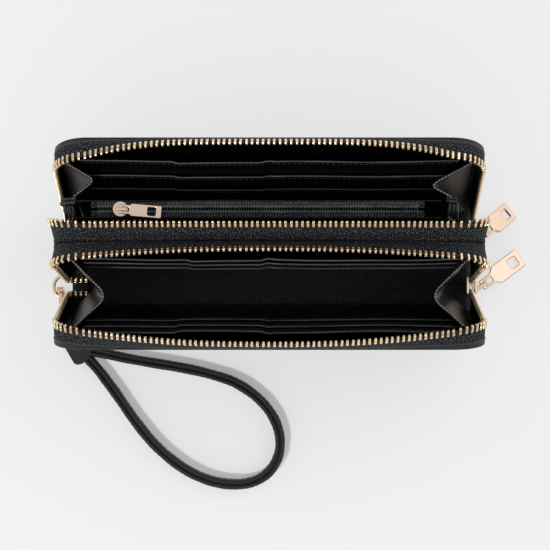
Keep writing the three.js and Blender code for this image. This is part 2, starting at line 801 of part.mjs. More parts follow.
const wallet = new THREE.Group();
wallet.add(spine());
wallet.add(cover('front', 1, -compartment, frontLean));
wallet.add(middleWall());
wallet.add(cover('back', -1, compartment, backLean));
for (const [side, name] of [[-1, 'front'], [1, 'back']]) {
  wallet.add(piece(`coin_pocket_${name}`, coinWall(side), liningCloth()));
  wallet.add(...coinZip(side));
}
wallet.add(...gussets());
for (const [name, setting] of Object.entries(outerSliders)) {
  wallet.add(outerSlider(name, setting));
  const place = sliderPlace(setting);
  wallet.add(hungPull(`${name}_pull`, outerPull, place, setting.yaw, setting.pitch));
  wallet.add(bottomStop(name, setting));
}
wallet.add(coinSlider());
wallet.add(hungPull('coin_pull', coinPull, coinHinge, coinYaw, 0));
wallet.add(ringTab());
wallet.add(dRing());
const hardware = claspFrame();
hardware.add(claspHook());
hardware.add(claspGate());
hardware.add(claspEye());
wallet.add(hardware);
wallet.add(strapKeeper());
wallet.add(strap());

export default wallet;
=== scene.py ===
import json
import math
import random

import bmesh
import bpy
import numpy as np
from mathutils import Matrix, Vector, noise


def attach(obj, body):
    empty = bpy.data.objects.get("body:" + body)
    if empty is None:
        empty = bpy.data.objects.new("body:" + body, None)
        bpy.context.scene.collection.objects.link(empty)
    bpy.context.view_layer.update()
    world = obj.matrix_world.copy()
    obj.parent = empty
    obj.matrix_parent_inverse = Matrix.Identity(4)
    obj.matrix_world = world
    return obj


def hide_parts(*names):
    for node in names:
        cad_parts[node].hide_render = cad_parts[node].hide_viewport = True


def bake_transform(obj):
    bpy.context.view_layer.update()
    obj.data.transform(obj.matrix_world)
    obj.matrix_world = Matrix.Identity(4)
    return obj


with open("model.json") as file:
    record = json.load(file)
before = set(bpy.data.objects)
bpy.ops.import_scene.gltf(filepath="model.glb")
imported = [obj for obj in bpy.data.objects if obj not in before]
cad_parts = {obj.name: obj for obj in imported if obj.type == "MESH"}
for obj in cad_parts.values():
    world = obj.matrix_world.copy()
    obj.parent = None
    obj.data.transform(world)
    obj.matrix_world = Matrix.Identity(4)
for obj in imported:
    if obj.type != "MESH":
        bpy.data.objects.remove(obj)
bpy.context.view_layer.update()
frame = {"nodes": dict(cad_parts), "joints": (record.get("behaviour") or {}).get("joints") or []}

mm = 0.001
jointPlaces = {j["name"]: Vector(j["pos_m"]) for j in frame["joints"] if "pos_m" in j}
materials = {}
print("frame loaded:", len(frame["nodes"]), "nodes")


# camera, floor and lights

def makeCamera():
    view = {"place": (2.6, -7.0, 1212.0), "lens": 156.6, "sensor": 36, "clip": 10}   # straight above
    data = bpy.data.cameras.new("camera")
    data.sensor_width = view["sensor"]
    data.lens = view["lens"]
    data.clip_end = view["clip"]
    seen = bpy.data.objects.new("camera", data)
    seen.location = [v * mm for v in view["place"]]
    bpy.context.scene.collection.objects.link(seen)
    bpy.context.scene.camera = seen


def areaLight(name, place, size, power, colour):
    data = bpy.data.lights.new(name, "AREA")
    data.shape = "RECTANGLE"
    data.size, data.size_y = size
    data.energy = power
    data.color = colour
    lamp = bpy.data.objects.new(name, data)
    lamp.location = place
    lamp.rotation_euler = (-Vector(place)).to_track_quat("-Z", "Y").to_euler()
    bpy.context.scene.collection.objects.link(lamp)
    return lamp


def lightRoom():
    room = {
        "sky": (0.93, 0.95, 0.97, 1),
        "horizon": (0.42, 0.42, 0.43, 1),
        "strength": 0.75,
    }
    world = bpy.data.worlds.new("studio")
    world.use_nodes = True
    bpy.context.scene.world = world
    tree = world.node_tree
    tree.nodes.clear()
    direction = addNode(tree, "ShaderNodeTexCoord").outputs["Generated"]
    height = addNode(tree, "ShaderNodeSeparateXYZ", {"Vector": direction}).outputs["Z"]
    colour = mixColour(tree, spread(tree, height, 0.05, 0.8), room["horizon"], room["sky"])
    glow = addNode(tree, "ShaderNodeBackground", {"Color": colour, "Strength": room["strength"]})
    addNode(tree, "ShaderNodeOutputWorld", {"Surface": glow.outputs[0]})


def limitLight(lamp, kind, name, things, state):
    # the lamp lights, or is shaded by, only these things, or all but these
    group = bpy.data.collections.new(name)
    for thing in things:
        group.objects.link(thing)
    setattr(lamp.light_linking, f"{kind}_collection", group)
    for held in group.collection_objects:
        held.light_linking.link_state = state


def makeStudio(strapPieces):
    studio = {"floor": (0.44, 0.44, 0.444), "floorGlow": 0.31, "floorHalf": 3.0}
    lamps = {                                        # place, size, power, colour
        "key": ((-0.75, -0.75, 1.75), (0.42, 0.42), 14.0, (1, 0.985, 0.96)),
        "floor key": ((-0.62, -0.62, 1.9), (0.2, 0.2), 29.0, (1, 0.99, 0.98)),
        "fill": ((0.9, 0.7, 1.5), (1.4, 1.4), 4.0, (0.95, 0.975, 1)),
        "card": ((0.75, 0.6, 0.2), (0.6, 0.4), 0.7, (1, 0.98, 0.96)),
    }
    bpy.context.scene.view_settings.view_transform = "Standard"
    lightRoom()
    size = studio["floorHalf"]
    corners = [(-size, -size, 0), (size, -size, 0), (size, size, 0), (-size, size, 0)]
    floor = meshPiece(
        "floor", corners, [(0, 1, 2, 3)], floorMaterial(studio["floor"], studio["floorGlow"])
    )
    floor.location.z = -0.0001
    made = {name: areaLight(name, *lamp) for name, lamp in lamps.items()}
    limitLight(made["key"], "receiver", "key lights", [floor], "EXCLUDE")
    limitLight(made["floor key"], "receiver", "floor lights", [floor], "INCLUDE")
    limitLight(made["floor key"], "blocker", "floor shades", strapPieces, "INCLUDE")


# node helpers

def addNode(tree, kind, inputs=None, **settings):
    node = tree.nodes.new(kind)
    for name, value in settings.items():
        setattr(node, name, value)
    for name, value in (inputs or {}).items():
        socket = pickInput(node, name)
        if isinstance(value, bpy.types.NodeSocket):
            tree.links.new(value, socket)
        else:
            socket.default_value = value
    return node


def pickInput(node, name):
    if node.bl_idname == "ShaderNodeMix" and name in ("A", "B"):
        kind = {"RGBA": "RGBA", "FLOAT": "VALUE", "VECTOR": "VECTOR"}[node.data_type]
        return next(s for s in node.inputs if s.name == name and s.type == kind)
    return node.inputs[name]


def mathNode(tree, operation, *values):
    return addNode(tree, "ShaderNodeMath", dict(enumerate(values)), operation=operation).outputs[0]


def mixColour(tree, share, first, second):
    node = addNode(
        tree, "ShaderNodeMix", {"Factor": share, "A": first, "B": second}, data_type="RGBA"
    )
    return next(s for s in node.outputs if s.type == "RGBA")


def spread(tree, value, low, high, newLow=0.0, newHigh=1.0):
    return addNode(
        tree, "ShaderNodeMapRange",
        {"Value": value, "From Min": low, "From Max": high, "To Min": newLow, "To Max": newHigh},
    ).outputs["Result"]


def newGroup(name, inputs, outputs):
    group = bpy.data.node_groups.new(name, "ShaderNodeTree")
    for label, kind, value in inputs:
        socket = group.interface.new_socket(name=label, in_out="INPUT", socket_type=kind)
        if value is not None:
            socket.default_value = value
    for label, kind in outputs:
        group.interface.new_socket(name=label, in_out="OUTPUT", socket_type=kind)
    return group, group.nodes.new("NodeGroupInput"), group.nodes.new("NodeGroupOutput")


def placeGroup(tree, name, **inputs):
    node = tree.nodes.new("ShaderNodeGroup")
    node.node_tree = bpy.data.node_groups[name]
    for label, value in inputs.items():
        socket = node.inputs[label]
        if isinstance(value, bpy.types.NodeSocket):
            tree.links.new(value, socket)
        else:
            socket.default_value = value
    return node.outputs


# shared surface effects

def makePebbleGrain():
    group, given, made = newGroup(
        "pebbleGrain",
        [("vector", "NodeSocketVector", None), ("scale", "NodeSocketFloat", 900.0),
         ("dark", "NodeSocketColor", (0, 0, 0, 1)), ("light", "NodeSocketColor", (1, 1, 1, 1))],
        [("colour", "NodeSocketColor"), ("height", "NodeSocketFloat"), ("gloss", "NodeSocketFloat")],
    )
    where, scale = given.outputs["vector"], given.outputs["scale"]
    stir = addNode(group, "ShaderNodeTexNoise", {"Vector": where, "Scale": 260.0, "Detail": 3.0})
    shift = addNode(
        group, "ShaderNodeVectorMath",
        {0: stir.outputs["Color"], "Scale": 0.0011}, operation="SCALE",
    )
    moved = addNode(
        group, "ShaderNodeVectorMath", {0: where, 1: shift.outputs[0]}, operation="ADD"
    ).outputs[0]
    cells = addNode(
        group, "ShaderNodeTexVoronoi", {"Vector": moved, "Scale": scale},
        feature="DISTANCE_TO_EDGE",
    ).outputs["Distance"]
    tone = addNode(group, "ShaderNodeTexVoronoi", {"Vector": moved, "Scale": scale}).outputs["Color"]
    dome = spread(group, cells, 0.0, 0.32)
    fine = addNode(
        group, "ShaderNodeTexNoise", {"Vector": where, "Scale": 5200.0, "Detail": 4.0}
    ).outputs["Fac"]
    height = mathNode(group, "ADD", mathNode(group, "SQRT", dome), mathNode(group, "MULTIPLY", fine, 0.22))
    blend = mathNode(
        group, "MULTIPLY", mathNode(group, "MULTIPLY", dome, 0.75),
        spread(group, addNode(group, "ShaderNodeSeparateColor", {"Color": tone}).outputs[0],
               0.0, 1.0, 0.55, 1.0),
    )
    group.links.new(
        mixColour(group, blend, given.outputs["dark"], given.outputs["light"]), made.inputs["colour"]
    )
    group.links.new(height, made.inputs["height"])
    group.links.new(spread(group, dome, 0.0, 1.0, 0.62, 0.38), made.inputs["gloss"])


def makeTwillWeave():
    # vector is (along, across) the tape in metres
    group, given, made = newGroup(
        "twillWeave",
        [("vector", "NodeSocketVector", None), ("pitch", "NodeSocketFloat", 0.00062),
         ("dark", "NodeSocketColor", (0, 0, 0, 1)), ("light", "NodeSocketColor", (1, 1, 1, 1))],
        [("colour", "NodeSocketColor"), ("height", "NodeSocketFloat")],
    )
    axes = addNode(group, "ShaderNodeSeparateXYZ", {"Vector": given.outputs["vector"]}).outputs
    wobble = addNode(
        group, "ShaderNodeTexNoise", {"Vector": given.outputs["vector"], "Scale": 700.0}
    ).outputs["Fac"]
    wobble = mathNode(group, "MULTIPLY", wobble, 0.0003)
    turns = mathNode(group, "DIVIDE", 2 * math.pi, given.outputs["pitch"])
    along = mathNode(group, "MULTIPLY", mathNode(group, "ADD", axes["X"], wobble), turns)
    across = mathNode(group, "MULTIPLY", mathNode(group, "ADD", axes["Y"], wobble), turns)
    # chevrons: the diagonal turns back every few threads
    fold = mathNode(group, "PINGPONG", mathNode(group, "MULTIPLY", across, 0.7), 5.0)
    rib = mathNode(group, "SINE", mathNode(group, "ADD", along, fold))
    thread = mathNode(group, "SINE", mathNode(group, "MULTIPLY", across, 1.3))
    weave = mathNode(
        group, "ADD", spread(group, rib, -1, 1, 0, 0.62), spread(group, thread, -1, 1, 0, 0.38)
    )
    fuzz = addNode(
        group, "ShaderNodeTexNoise",
        {"Vector": given.outputs["vector"], "Scale": 3200.0, "Detail": 3.0},
    ).outputs["Fac"]
    height = mathNode(group, "ADD", weave, mathNode(group, "MULTIPLY", fuzz, 0.4))
    speckle = addNode(
        group, "ShaderNodeTexNoise",
        {"Vector": given.outputs["vector"], "Scale": 1150.0, "Detail": 1.5},
    ).outputs["Fac"]
    salted = mathNode(group, "ADD", height, spread(group, speckle, 0.35, 0.65, -0.8, 0.8))
    shade = mathNode(group, "POWER", spread(group, salted, 0.1, 1.9), 2.2)
    group.links.new(
        mixColour(group, shade, given.outputs["dark"], given.outputs["light"]), made.inputs["colour"]
    )
    group.links.new(height, made.inputs["height"])


def makeCreases():
    group, given, made = newGroup(
        "softCreases",
        [("vector", "NodeSocketVector", None), ("scale", "NodeSocketFloat", 40.0),
         ("dark", "NodeSocketColor", (0, 0, 0, 1)), ("light", "NodeSocketColor", (1, 1, 1, 1))],
        [("colour", "NodeSocketColor"), ("height", "NodeSocketFloat"), ("gloss", "NodeSocketFloat")],
    )
    where = given.outputs["vector"]
    stretched = addNode(
        group, "ShaderNodeVectorMath", {0: where, 1: (0.35, 1.0, 1.4)}, operation="MULTIPLY"
    ).outputs[0]
    waves = addNode(
        group, "ShaderNodeTexNoise",
        {"Vector": stretched, "Scale": given.outputs["scale"], "Detail": 5.0, "Distortion": 0.6},
    ).outputs["Fac"]
    grain = addNode(
        group, "ShaderNodeTexNoise", {"Vector": where, "Scale": 2600.0, "Detail": 3.0}
    ).outputs["Fac"]
    pores = addNode(
        group, "ShaderNodeTexVoronoi", {"Vector": where, "Scale": 2100.0}
    ).outputs["Distance"]
    fine = mathNode(
        group, "ADD", mathNode(group, "MULTIPLY", grain, 0.05), mathNode(group, "MULTIPLY", pores, 0.05)
    )
    group.links.new(mathNode(group, "ADD", waves, fine), made.inputs["height"])
    group.links.new(
        mixColour(group, spread(group, waves, 0.3, 0.7), given.outputs["dark"], given.outputs["light"]),
        made.inputs["colour"],
    )
    group.links.new(spread(group, grain, 0.3, 0.7, 0.28, 0.42), made.inputs["gloss"])


def makeMetalTarnishAndEdgeLight():
    group, given, made = newGroup(
        "platedTarnishAndEdgeLight",
        [("vector", "NodeSocketVector", None), ("face", "NodeSocketColor", (1, 1, 1, 1)),
         ("edge", "NodeSocketColor", (1, 1, 1, 1)), ("tarnish", "NodeSocketColor", (0, 0, 0, 1)),
         ("roughness", "NodeSocketFloat", 0.25)],
        [("colour", "NodeSocketColor"), ("height", "NodeSocketFloat"), ("rough", "NodeSocketFloat")],
    )
    where = given.outputs["vector"]
    ridge = addNode(group, "ShaderNodeNewGeometry").outputs["Pointiness"]
    brushed = addNode(
        group, "ShaderNodeVectorMath", {0: where, 1: (1.0, 0.12, 1.0)}, operation="MULTIPLY"
    ).outputs[0]
    lines = addNode(
        group, "ShaderNodeTexNoise", {"Vector": brushed, "Scale": 5000.0, "Detail": 4.0}
    ).outputs["Fac"]
    clouds = addNode(
        group, "ShaderNodeTexNoise", {"Vector": where, "Scale": 420.0, "Detail": 3.0}
    ).outputs["Fac"]
    base = mixColour(
        group, spread(group, clouds, 0.45, 0.85, 0.0, 0.35),
        given.outputs["face"], given.outputs["tarnish"],
    )
    # ridges (high pointiness) take the edge colour: a painted highlight where it is lighter, painted shade
    # where it is darker; hollows (low pointiness) darken towards the tarnish colour
    colour = mixColour(group, spread(group, ridge, 0.5, 0.62), base, given.outputs["edge"])
    hollow = spread(group, ridge, 0.36, 0.49, 0.55, 0.0)
    colour = mixColour(group, hollow, colour, given.outputs["tarnish"])
    group.links.new(colour, made.inputs["colour"])
    group.links.new(lines, made.inputs["height"])
    rough = mathNode(group, "ADD", given.outputs["roughness"], spread(group, lines, 0.3, 0.7, -0.05, 0.08))
    group.links.new(rough, made.inputs["rough"])


# materials

def newMaterial(name, **settings):
    material = bpy.data.materials.new(name)
    material.use_nodes = True
    tree = material.node_tree
    tree.nodes.clear()
    shader = addNode(tree, "ShaderNodeBsdfPrincipled", settings)
    addNode(tree, "ShaderNodeOutputMaterial", {"Surface": shader.outputs[0]})
    materials[name] = material
    return tree, shader


def addBump(tree, shader, height, strength, distance):
    bump = addNode(
        tree, "ShaderNodeBump", {"Height": height, "Strength": strength, "Distance": distance}
    )
    tree.links.new(bump.outputs["Normal"], shader.inputs["Normal"])


def objectPlace(tree):
    return addNode(tree, "ShaderNodeTexCoord").outputs["Object"]


def pebbleMaterial(name, dark, light, scale, bump):
    tree, shader = newMaterial(name)
    grain = placeGroup(tree, "pebbleGrain", vector=objectPlace(tree), scale=scale, dark=dark, light=light)
    tree.links.new(grain["colour"], shader.inputs["Base Color"])
    tree.links.new(grain["gloss"], shader.inputs["Roughness"])
    addBump(tree, shader, grain["height"], bump, 0.00022)


def creasedMaterial(name, dark, light, scale, bump, shine=0.5):
    tree, shader = newMaterial(name)
    shader.inputs["Specular IOR Level"].default_value = shine
    creases = placeGroup(
        tree, "softCreases", vector=objectPlace(tree), scale=scale, dark=dark, light=light
    )
    tree.links.new(creases["colour"], shader.inputs["Base Color"])
    tree.links.new(creases["gloss"], shader.inputs["Roughness"])
    addBump(tree, shader, creases["height"], bump, 0.0012)


def wovenMaterial(name, dark, light, pitch, bump):
    tree, shader = newMaterial(name)
    place = addNode(tree, "ShaderNodeUVMap", uv_map="UVMap").outputs["UV"]
    weave = placeGroup(tree, "twillWeave", vector=place, pitch=pitch, dark=dark, light=light)
    tree.links.new(weave["colour"], shader.inputs["Base Color"])
    shader.inputs["Roughness"].default_value = 0.75
    shader.inputs["Specular IOR Level"].default_value = 0.2
    addBump(tree, shader, weave["height"], bump, 0.00018)


def metalMaterial(name, face, edge, tarnish, roughness, bump):
    tree, shader = newMaterial(name, Metallic=1.0)
    tarnishAndEdgeLight = placeGroup(
        tree, "platedTarnishAndEdgeLight", vector=objectPlace(tree),
        face=face, edge=edge, tarnish=tarnish, roughness=roughness,
    )
    tree.links.new(tarnishAndEdgeLight["colour"], shader.inputs["Base Color"])
    tree.links.new(tarnishAndEdgeLight["rough"], shader.inputs["Roughness"])
    addBump(tree, shader, tarnishAndEdgeLight["height"], bump, 0.00004)


def floorMaterial(colour, glow):
    tree, shader = newMaterial("paper", Roughness=0.9)
    shader.inputs["Emission Strength"].default_value = glow
    shader.inputs["Emission Color"].default_value = (1, 1, 1, 1)
    shader.inputs["Specular IOR Level"].default_value = 0.1
    clouds = addNode(tree, "ShaderNodeTexNoise", {"Vector": objectPlace(tree), "Scale": 2.0})
    paler = [c * 1.012 for c in colour]
    tone = mixColour(tree, clouds.outputs["Fac"], (*colour, 1), (*paler, 1))
    tree.links.new(tone, shader.inputs["Base Color"])
    return materials["paper"]


def makeMaterials():
    makePebbleGrain()
    makeTwillWeave()
    makeCreases()
    makeMetalTarnishAndEdgeLight()
    pebbleMaterial("leather", (0.004, 0.004, 0.005, 1), (0.022, 0.022, 0.024, 1), 850.0, 0.85)
    pebbleMaterial("strapLeather", (0.003, 0.003, 0.0035, 1), (0.018, 0.019, 0.019, 1), 1500.0, 0.6)
    creasedMaterial("lining", (0.001, 0.0011, 0.0014, 1), (0.0024, 0.0025, 0.0029, 1), 38.0, 0.3,
                    shine=0.3)
    # pocket lips: lighter grey than the lining, a painted highlight along the rolled edges
    creasedMaterial("liningEdgeHighlight", (0.03, 0.03, 0.032, 1), (0.09, 0.09, 0.094, 1), 150.0, 0.2)
    creasedMaterial("gusset", (0.006, 0.006, 0.0062, 1), (0.0125, 0.0125, 0.0128, 1), 60.0, 0.35,
                    shine=0.18)
    creasedMaterial("binding", (0.006, 0.006, 0.007, 1), (0.02, 0.02, 0.021, 1), 90.0, 0.3)
    wovenMaterial("twill", (0.002, 0.0022, 0.0026, 1), (0.125, 0.132, 0.15, 1), 0.0014, 0.9)
    # the cord under the teeth: dark brown that stands in for the shade and reflections in the gaps between
    # teeth, painted shade
    wovenMaterial("cordGapShade", (0.012, 0.006, 0.003, 1), (0.09, 0.045, 0.018, 1), 0.0013, 0.8)
    wovenMaterial("coinTape", (0.003, 0.004, 0.004, 1), (0.10, 0.115, 0.112, 1), 0.0012, 0.8)
    creasedMaterial("nylon", (0.05, 0.058, 0.056, 1), (0.19, 0.21, 0.205, 1), 300.0, 0.2)
    # edge seam thread: its lighter grey is a painted highlight, standing in for glints along the leather
    # edge
    creasedMaterial("seamThreadHighlight", (0.04, 0.039, 0.037, 1), (0.11, 0.105, 0.1, 1), 500.0, 0.3)
    creasedMaterial("thread", (0.008, 0.008, 0.009, 1), (0.03, 0.03, 0.031, 1), 500.0, 0.3)
    creasedMaterial("paleThread", (0.16, 0.16, 0.16, 1), (0.36, 0.36, 0.35, 1), 500.0, 0.3)
    # edge colours: painted highlight on the ridges of the golds, painted shade on the rose gold's ridges
    metalMaterial("toothGold", (0.90, 0.62, 0.34, 1), (1.0, 0.90, 0.70, 1), (0.20, 0.08, 0.02, 1),
                  0.13, 0.08)
    metalMaterial("paleGold", (0.88, 0.68, 0.45, 1), (1.0, 0.90, 0.72, 1), (0.35, 0.2, 0.1, 1),
                  0.18, 0.1)
    metalMaterial("roseGold", (0.86, 0.65, 0.51, 1), (0.74, 0.50, 0.34, 1), (0.80, 0.60, 0.47, 1),
                  0.2, 0.06)


# mesh helpers

def meshPiece(name, vertices, faces, material, uv=None, smooth=True):
    mesh = bpy.data.meshes.new(name)
    mesh.from_pydata([tuple(v) for v in vertices], [], faces)
    if uv is not None:
        layer = mesh.uv_layers.new(name="UVMap")
        corners = np.zeros(len(mesh.loops), np.int32)
        mesh.loops.foreach_get("vertex_index", corners)
        layer.data.foreach_set("uv", np.asarray(uv, np.float32)[corners].ravel())
    work = bmesh.new()
    work.from_mesh(mesh)
    bmesh.ops.recalc_face_normals(work, faces=work.faces)
    work.to_mesh(mesh)
    work.free()
    mesh.polygons.foreach_set("use_smooth", [smooth] * len(mesh.polygons))
    mesh.materials.append(material)
    made = bpy.data.objects.new(name, mesh)
    bpy.context.scene.collection.objects.link(made)
    return made


def settle(piece, body, slot, *replaced):
    if replaced:
        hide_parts(*replaced)
    if isinstance(body, str):
        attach(piece, body)
    else:
        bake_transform(piece)
    return piece


def gridFaces(rows, columns, ringAlong=False, ringAcross=False, first=0):
    faces = []
    for i in range(rows if ringAlong else rows - 1):
        below = first + i * columns
        above = first + ((i + 1) % rows) * columns
        for j in range(columns if ringAcross else columns - 1):
            after = (j + 1) % columns
            faces.append((below + j, below + after, above + after, above + j))
    return faces


def sweptFaces(rows, columns, first=0, ring=False):
    # a tube of closed sections, capped unless it closes on itself
    faces = gridFaces(rows, columns, ring, True, first)
    if not ring:
        last = first + (rows - 1) * columns
        faces.append(tuple(range(first + columns - 1, first - 1, -1)))
        faces.append(tuple(range(last, last + columns)))
    return faces


def roundedSection(width, height, radius, steps=3):
    # closed outline of a rounded rectangle about its middle
    points = []
    for turn, (a, b) in enumerate([(1, 1), (-1, 1), (-1, -1), (1, -1)]):
        for k in range(steps + 1):
            angle = (turn + k / steps) * math.pi / 2
            points.append((
                a * (width / 2 - radius) + radius * math.cos(angle),
                b * (height / 2 - radius) + radius * math.sin(angle),
            ))
    return points


def wireTube(path, radius, sides=12, ring=False, up=(0, 0, 1)):
    rows = []
    count = len(path)
    for i, point in enumerate(path):
        ahead = path[(i + 1) % count] if ring else path[min(i + 1, count - 1)]
        behind = path[i - 1] if ring else path[max(i - 1, 0)]
        along = (ahead - behind).normalized()
        side = along.cross(Vector(up)).normalized()
        rise = side.cross(along)
        for k in range(sides):
            turn = 2 * math.pi * k / sides
            rows.append(point + side * radius * math.cos(turn) + rise * radius * math.sin(turn))
    return rows, sweptFaces(count, sides, ring=ring)


def joinParts(parts):
    vertices, faces = [], []
    for partVertices, partFaces in parts:
        start = len(vertices)
        vertices.extend(partVertices)
        faces.extend(tuple(start + k for k in face) for face in partFaces)
    return vertices, faces


def stitchParts(path, outwards, size):
    # short threads lying along a path: size is (length, gap, radius)
    length, space, radius = size
    parts = []
    travelled = [0.0]
    for a, b in zip(path, path[1:]):
        travelled.append(travelled[-1] + (b - a).length)
    position = space
    while position + length < travelled[-1]:
        ends = []
        for reach in (position, position + length / 2, position + length):
            index = max(0, np.searchsorted(travelled, reach) - 1)
            share = (reach - travelled[index]) / max(travelled[index + 1] - travelled[index], 1e-9)
            ends.append((
                path[index].lerp(path[index + 1], share),
                outwards[index].lerp(outwards[index + 1], share).normalized(),
            ))
        (start, outA), (middle, outB), (finish, outC) = ends
        points = [
            start - outA * radius * 0.9,
            start.lerp(middle, 0.35) + outB * radius * 0.45,
            middle + outB * radius * 0.6,
            finish.lerp(middle, 0.35) + outB * radius * 0.45,
            finish - outC * radius * 0.9,
        ]
        parts.append(wireTube(points, radius, 6, up=outB))
        position += length + space
    return parts


def filleted(points, radius, steps=4):
    rounded = []
    count = len(points)
    for i, point in enumerate(points):
        here = Vector(point)
        before = Vector(points[i - 1])
        after = Vector(points[(i + 1) % count])
        reach = min(radius, (before - here).length * 0.45, (after - here).length * 0.45)
        a = here + (before - here).normalized() * reach
        b = here + (after - here).normalized() * reach
        for k in range(steps + 1):
            t = k / steps
            rounded.append(a * (1 - t) ** 2 + here * 2 * t * (1 - t) + b * t ** 2)
    return rounded


def plateMesh(name, outline, holes, thickness, bevel):
    # a flat plate in XY with rounded edges, from a filled curve
    curve = bpy.data.curves.new(name, "CURVE")
    curve.dimensions = "2D"
    curve.fill_mode = "BOTH"
    curve.extrude = thickness / 2 - bevel
    curve.bevel_depth = bevel
    curve.bevel_resolution = 3
    curve.offset = -bevel
    for points in [outline, *holes]:
        spline = curve.splines.new("POLY")
        spline.points.add(len(points) - 1)
        for held, point in zip(spline.points, points):
            held.co = (point[0], point[1], 0, 1)
        spline.use_cyclic_u = True
    drawn = bpy.data.objects.new(name, curve)
    bpy.context.scene.collection.objects.link(drawn)
    mesh = bpy.data.meshes.new_from_object(drawn.evaluated_get(bpy.context.evaluated_depsgraph_get()))
    bpy.data.objects.remove(drawn)
    bpy.data.curves.remove(curve)
    work = bmesh.new()
    work.from_mesh(mesh)
    bmesh.ops.remove_doubles(work, verts=work.verts, dist=1e-6)
    vertices = [v.co.copy() for v in work.verts]
    faces = [tuple(v.index for v in f.verts) for f in work.faces]
    work.free()
    bpy.data.meshes.remove(mesh)
    return vertices, faces


def moved(part, matrix):
    vertices, faces = part
    return [matrix @ Vector(v) for v in vertices], faces


def weighted(piece):
    piece.modifiers.new("weighted", "WEIGHTED_NORMAL").weight = 80
    return piece


def mix(a, b, share):
    return a + (b - a) * share


def smoothStep(share):
    share = min(max(share, 0), 1)
    return share * share * (3 - 2 * share)


# wrist strap: two layers of leather on edge

strap = {
    "height": 0.010,
    "width": 0.0048,
    "middle": 0.0053,
    "length": 0.248,
    "groove": 0.0013,
    "seamHeights": (0.0031, -0.0031),
    "seamSunk": 0.00005,
    "stitch": (0.0021, 0.0008, 0.0001),
    "route": [
        (-89.8, -45.3), (-80.5, -47.2), (-70.5, -49.3), (-58.4, -51.4), (-46.3, -53.4),
        (-34.2, -55.9), (-22.1, -59.4), (-15.4, -62.4), (-8.2, -67.2), (-2.2, -73.0),
        (2.0, -79.2), (4.4, -85.4), (5.2, -91.8), (4.2, -98.4), (0.6, -105.0),
        (-5.2, -109.8), (-12.6, -112.2), (-20.6, -112.4), (-28.1, -111.2), (-34.2, -109.2),
        (-40.2, -106.4), (-46.8, -102.2), (-53.1, -97.2), (-59.2, -91.3), (-64.4, -85.1),
        (-69.2, -78.8), (-73.6, -72.4), (-77.9, -66.2), (-82.2, -60.4), (-86.4, -54.9),
        (-92.0, -48.7),
    ],
}


def smoothRoute(points, steps):
    # Catmull-Rom curve through the points
    ends = [points[0] * 2 - points[1], *points, points[-1] * 2 - points[-2]]
    route = []
    for a, b, c, d in zip(ends, ends[1:], ends[2:], ends[3:]):
        for k in range(steps):
            t = k / steps
            route.append(0.5 * (
                2 * b + (c - a) * t + (2 * a - 5 * b + 4 * c - d) * t ** 2
                + (3 * b - a - 3 * c + d) * t ** 3
            ))
    route.append(points[-1])
    return route


def strapSection():
    # one side's outline, from the groove over the top edge and down the flank
    half = strap["width"] / 2
    tall = strap["height"] / 2
    lobe = [
        (0.00012, tall - strap["groove"]), (0.0004, tall - 0.00045), (0.0008, tall - 0.0001),
        (half * 0.5, tall), (half * 0.68, tall - 0.00008), (half * 0.86, tall - 0.0004),
        (half * 0.97, tall - 0.0010), (half, tall - 0.0020), (half, tall * 0.2),
    ]
    right = lobe + [(x, -z) for x, z in reversed(lobe)]
    left = [(-x, z) for x, z in reversed(right)]
    return right + left


def makeStrap():
    route = smoothRoute([Vector((x * mm, y * mm, strap["middle"])) for x, y in strap["route"]], 5)
    section = strapSection()
    vertices, threads, outs = [], {-1: [], 1: []}, {-1: [], 1: []}
    for i, point in enumerate(route):
        along = (route[min(i + 1, len(route) - 1)] - route[max(i - 1, 0)]).normalized()
        side = Vector((along.y, -along.x, 0))
        ripple = 1 + 0.02 * math.sin(i * 0.9) + 0.02 * math.sin(i * 0.37 + 1)
        for x, z in section:
            vertices.append(point + side * x * ripple + Vector((0, 0, z)))
        for flank in (-1, 1):
            reach = strap["width"] / 2 * ripple - strap["seamSunk"]
            threads[flank].append(point + side * flank * reach)
            outs[flank].append(side * flank)
    band = meshPiece(
        "strap_band", vertices, sweptFaces(len(route), len(section)), materials["strapLeather"]
    )
    settle(band, "strap", "strap_leather", "wrist_strap")
    parts = []
    for flank in (-1, 1):
        for height in strap["seamHeights"]:
            line = [p + Vector((0, 0, height)) for p in threads[flank]]
            parts.extend(stitchParts(line, outs[flank], strap["stitch"]))
    seams = meshPiece("strap_stitching", *joinParts(parts), materials["thread"])
    settle(seams, "strap", "strap_leather")
    measured = sum((b - a).length for a, b in zip(route, route[1:]))
    print("strap length", round(measured, 4))
    return band, seams, route


# leaves of the wallet: where each stands and how it leans

leaf = {"halfLength": 0.102, "height": 0.093, "corner": 0.016, "foot": 0.003}
leans = {"front": (-0.025, -10.0), "wall": (0.0, 5.5), "back": (0.025, 20.0)}


def leafMatrix(name):
    y, lean = leans[name]
    return Matrix.Translation((0, y, leaf["foot"])) @ Matrix.Rotation(math.radians(-lean), 4, "X")


# rim rows: turned leather edge, tape and teeth round each leaf

row = {
    "tailHeight": 0.007, "tailLength": 0.010, "tailRadius": 0.003, "foot": 0.004,
    "spacing": 0.0011,
    # the turned edge: where it springs from the leaf, in millimetres, then its strip
    "sunk": 0.8, "lift": 1.1, "roll": 0.5, "proud": 0.001,
    "borderWidth": 0.0038, "borderThickness": 0.0012, "borderHidden": 0.0014, "borderRound": 0.00045,
    "bend": 0.0015, "step": 0.0003, "stepsBefore": 5, "steps": 45,
    "stitch": (0.0018, 0.0009, 0.00016), "seamAt": 0.62, "narrow": 0.001,
    # tape, its cord and the teeth
    "tapeUnder": 0.0006, "tapeTo": 0.0036, "tapeThickness": 0.0008, "tapeRound": 0.00035,
    "beadFrom": 0.0030, "beadTo": 0.0056, "beadThickness": 0.0011, "beadRound": 0.0004,
    "teethFrom": 0.0033, "pitch": 0.0026, "toothTurn": 0.05, "lowestTooth": 0.0065,
    "borderRipple": 0.0002, "tapeRipple": 0.00012,
}
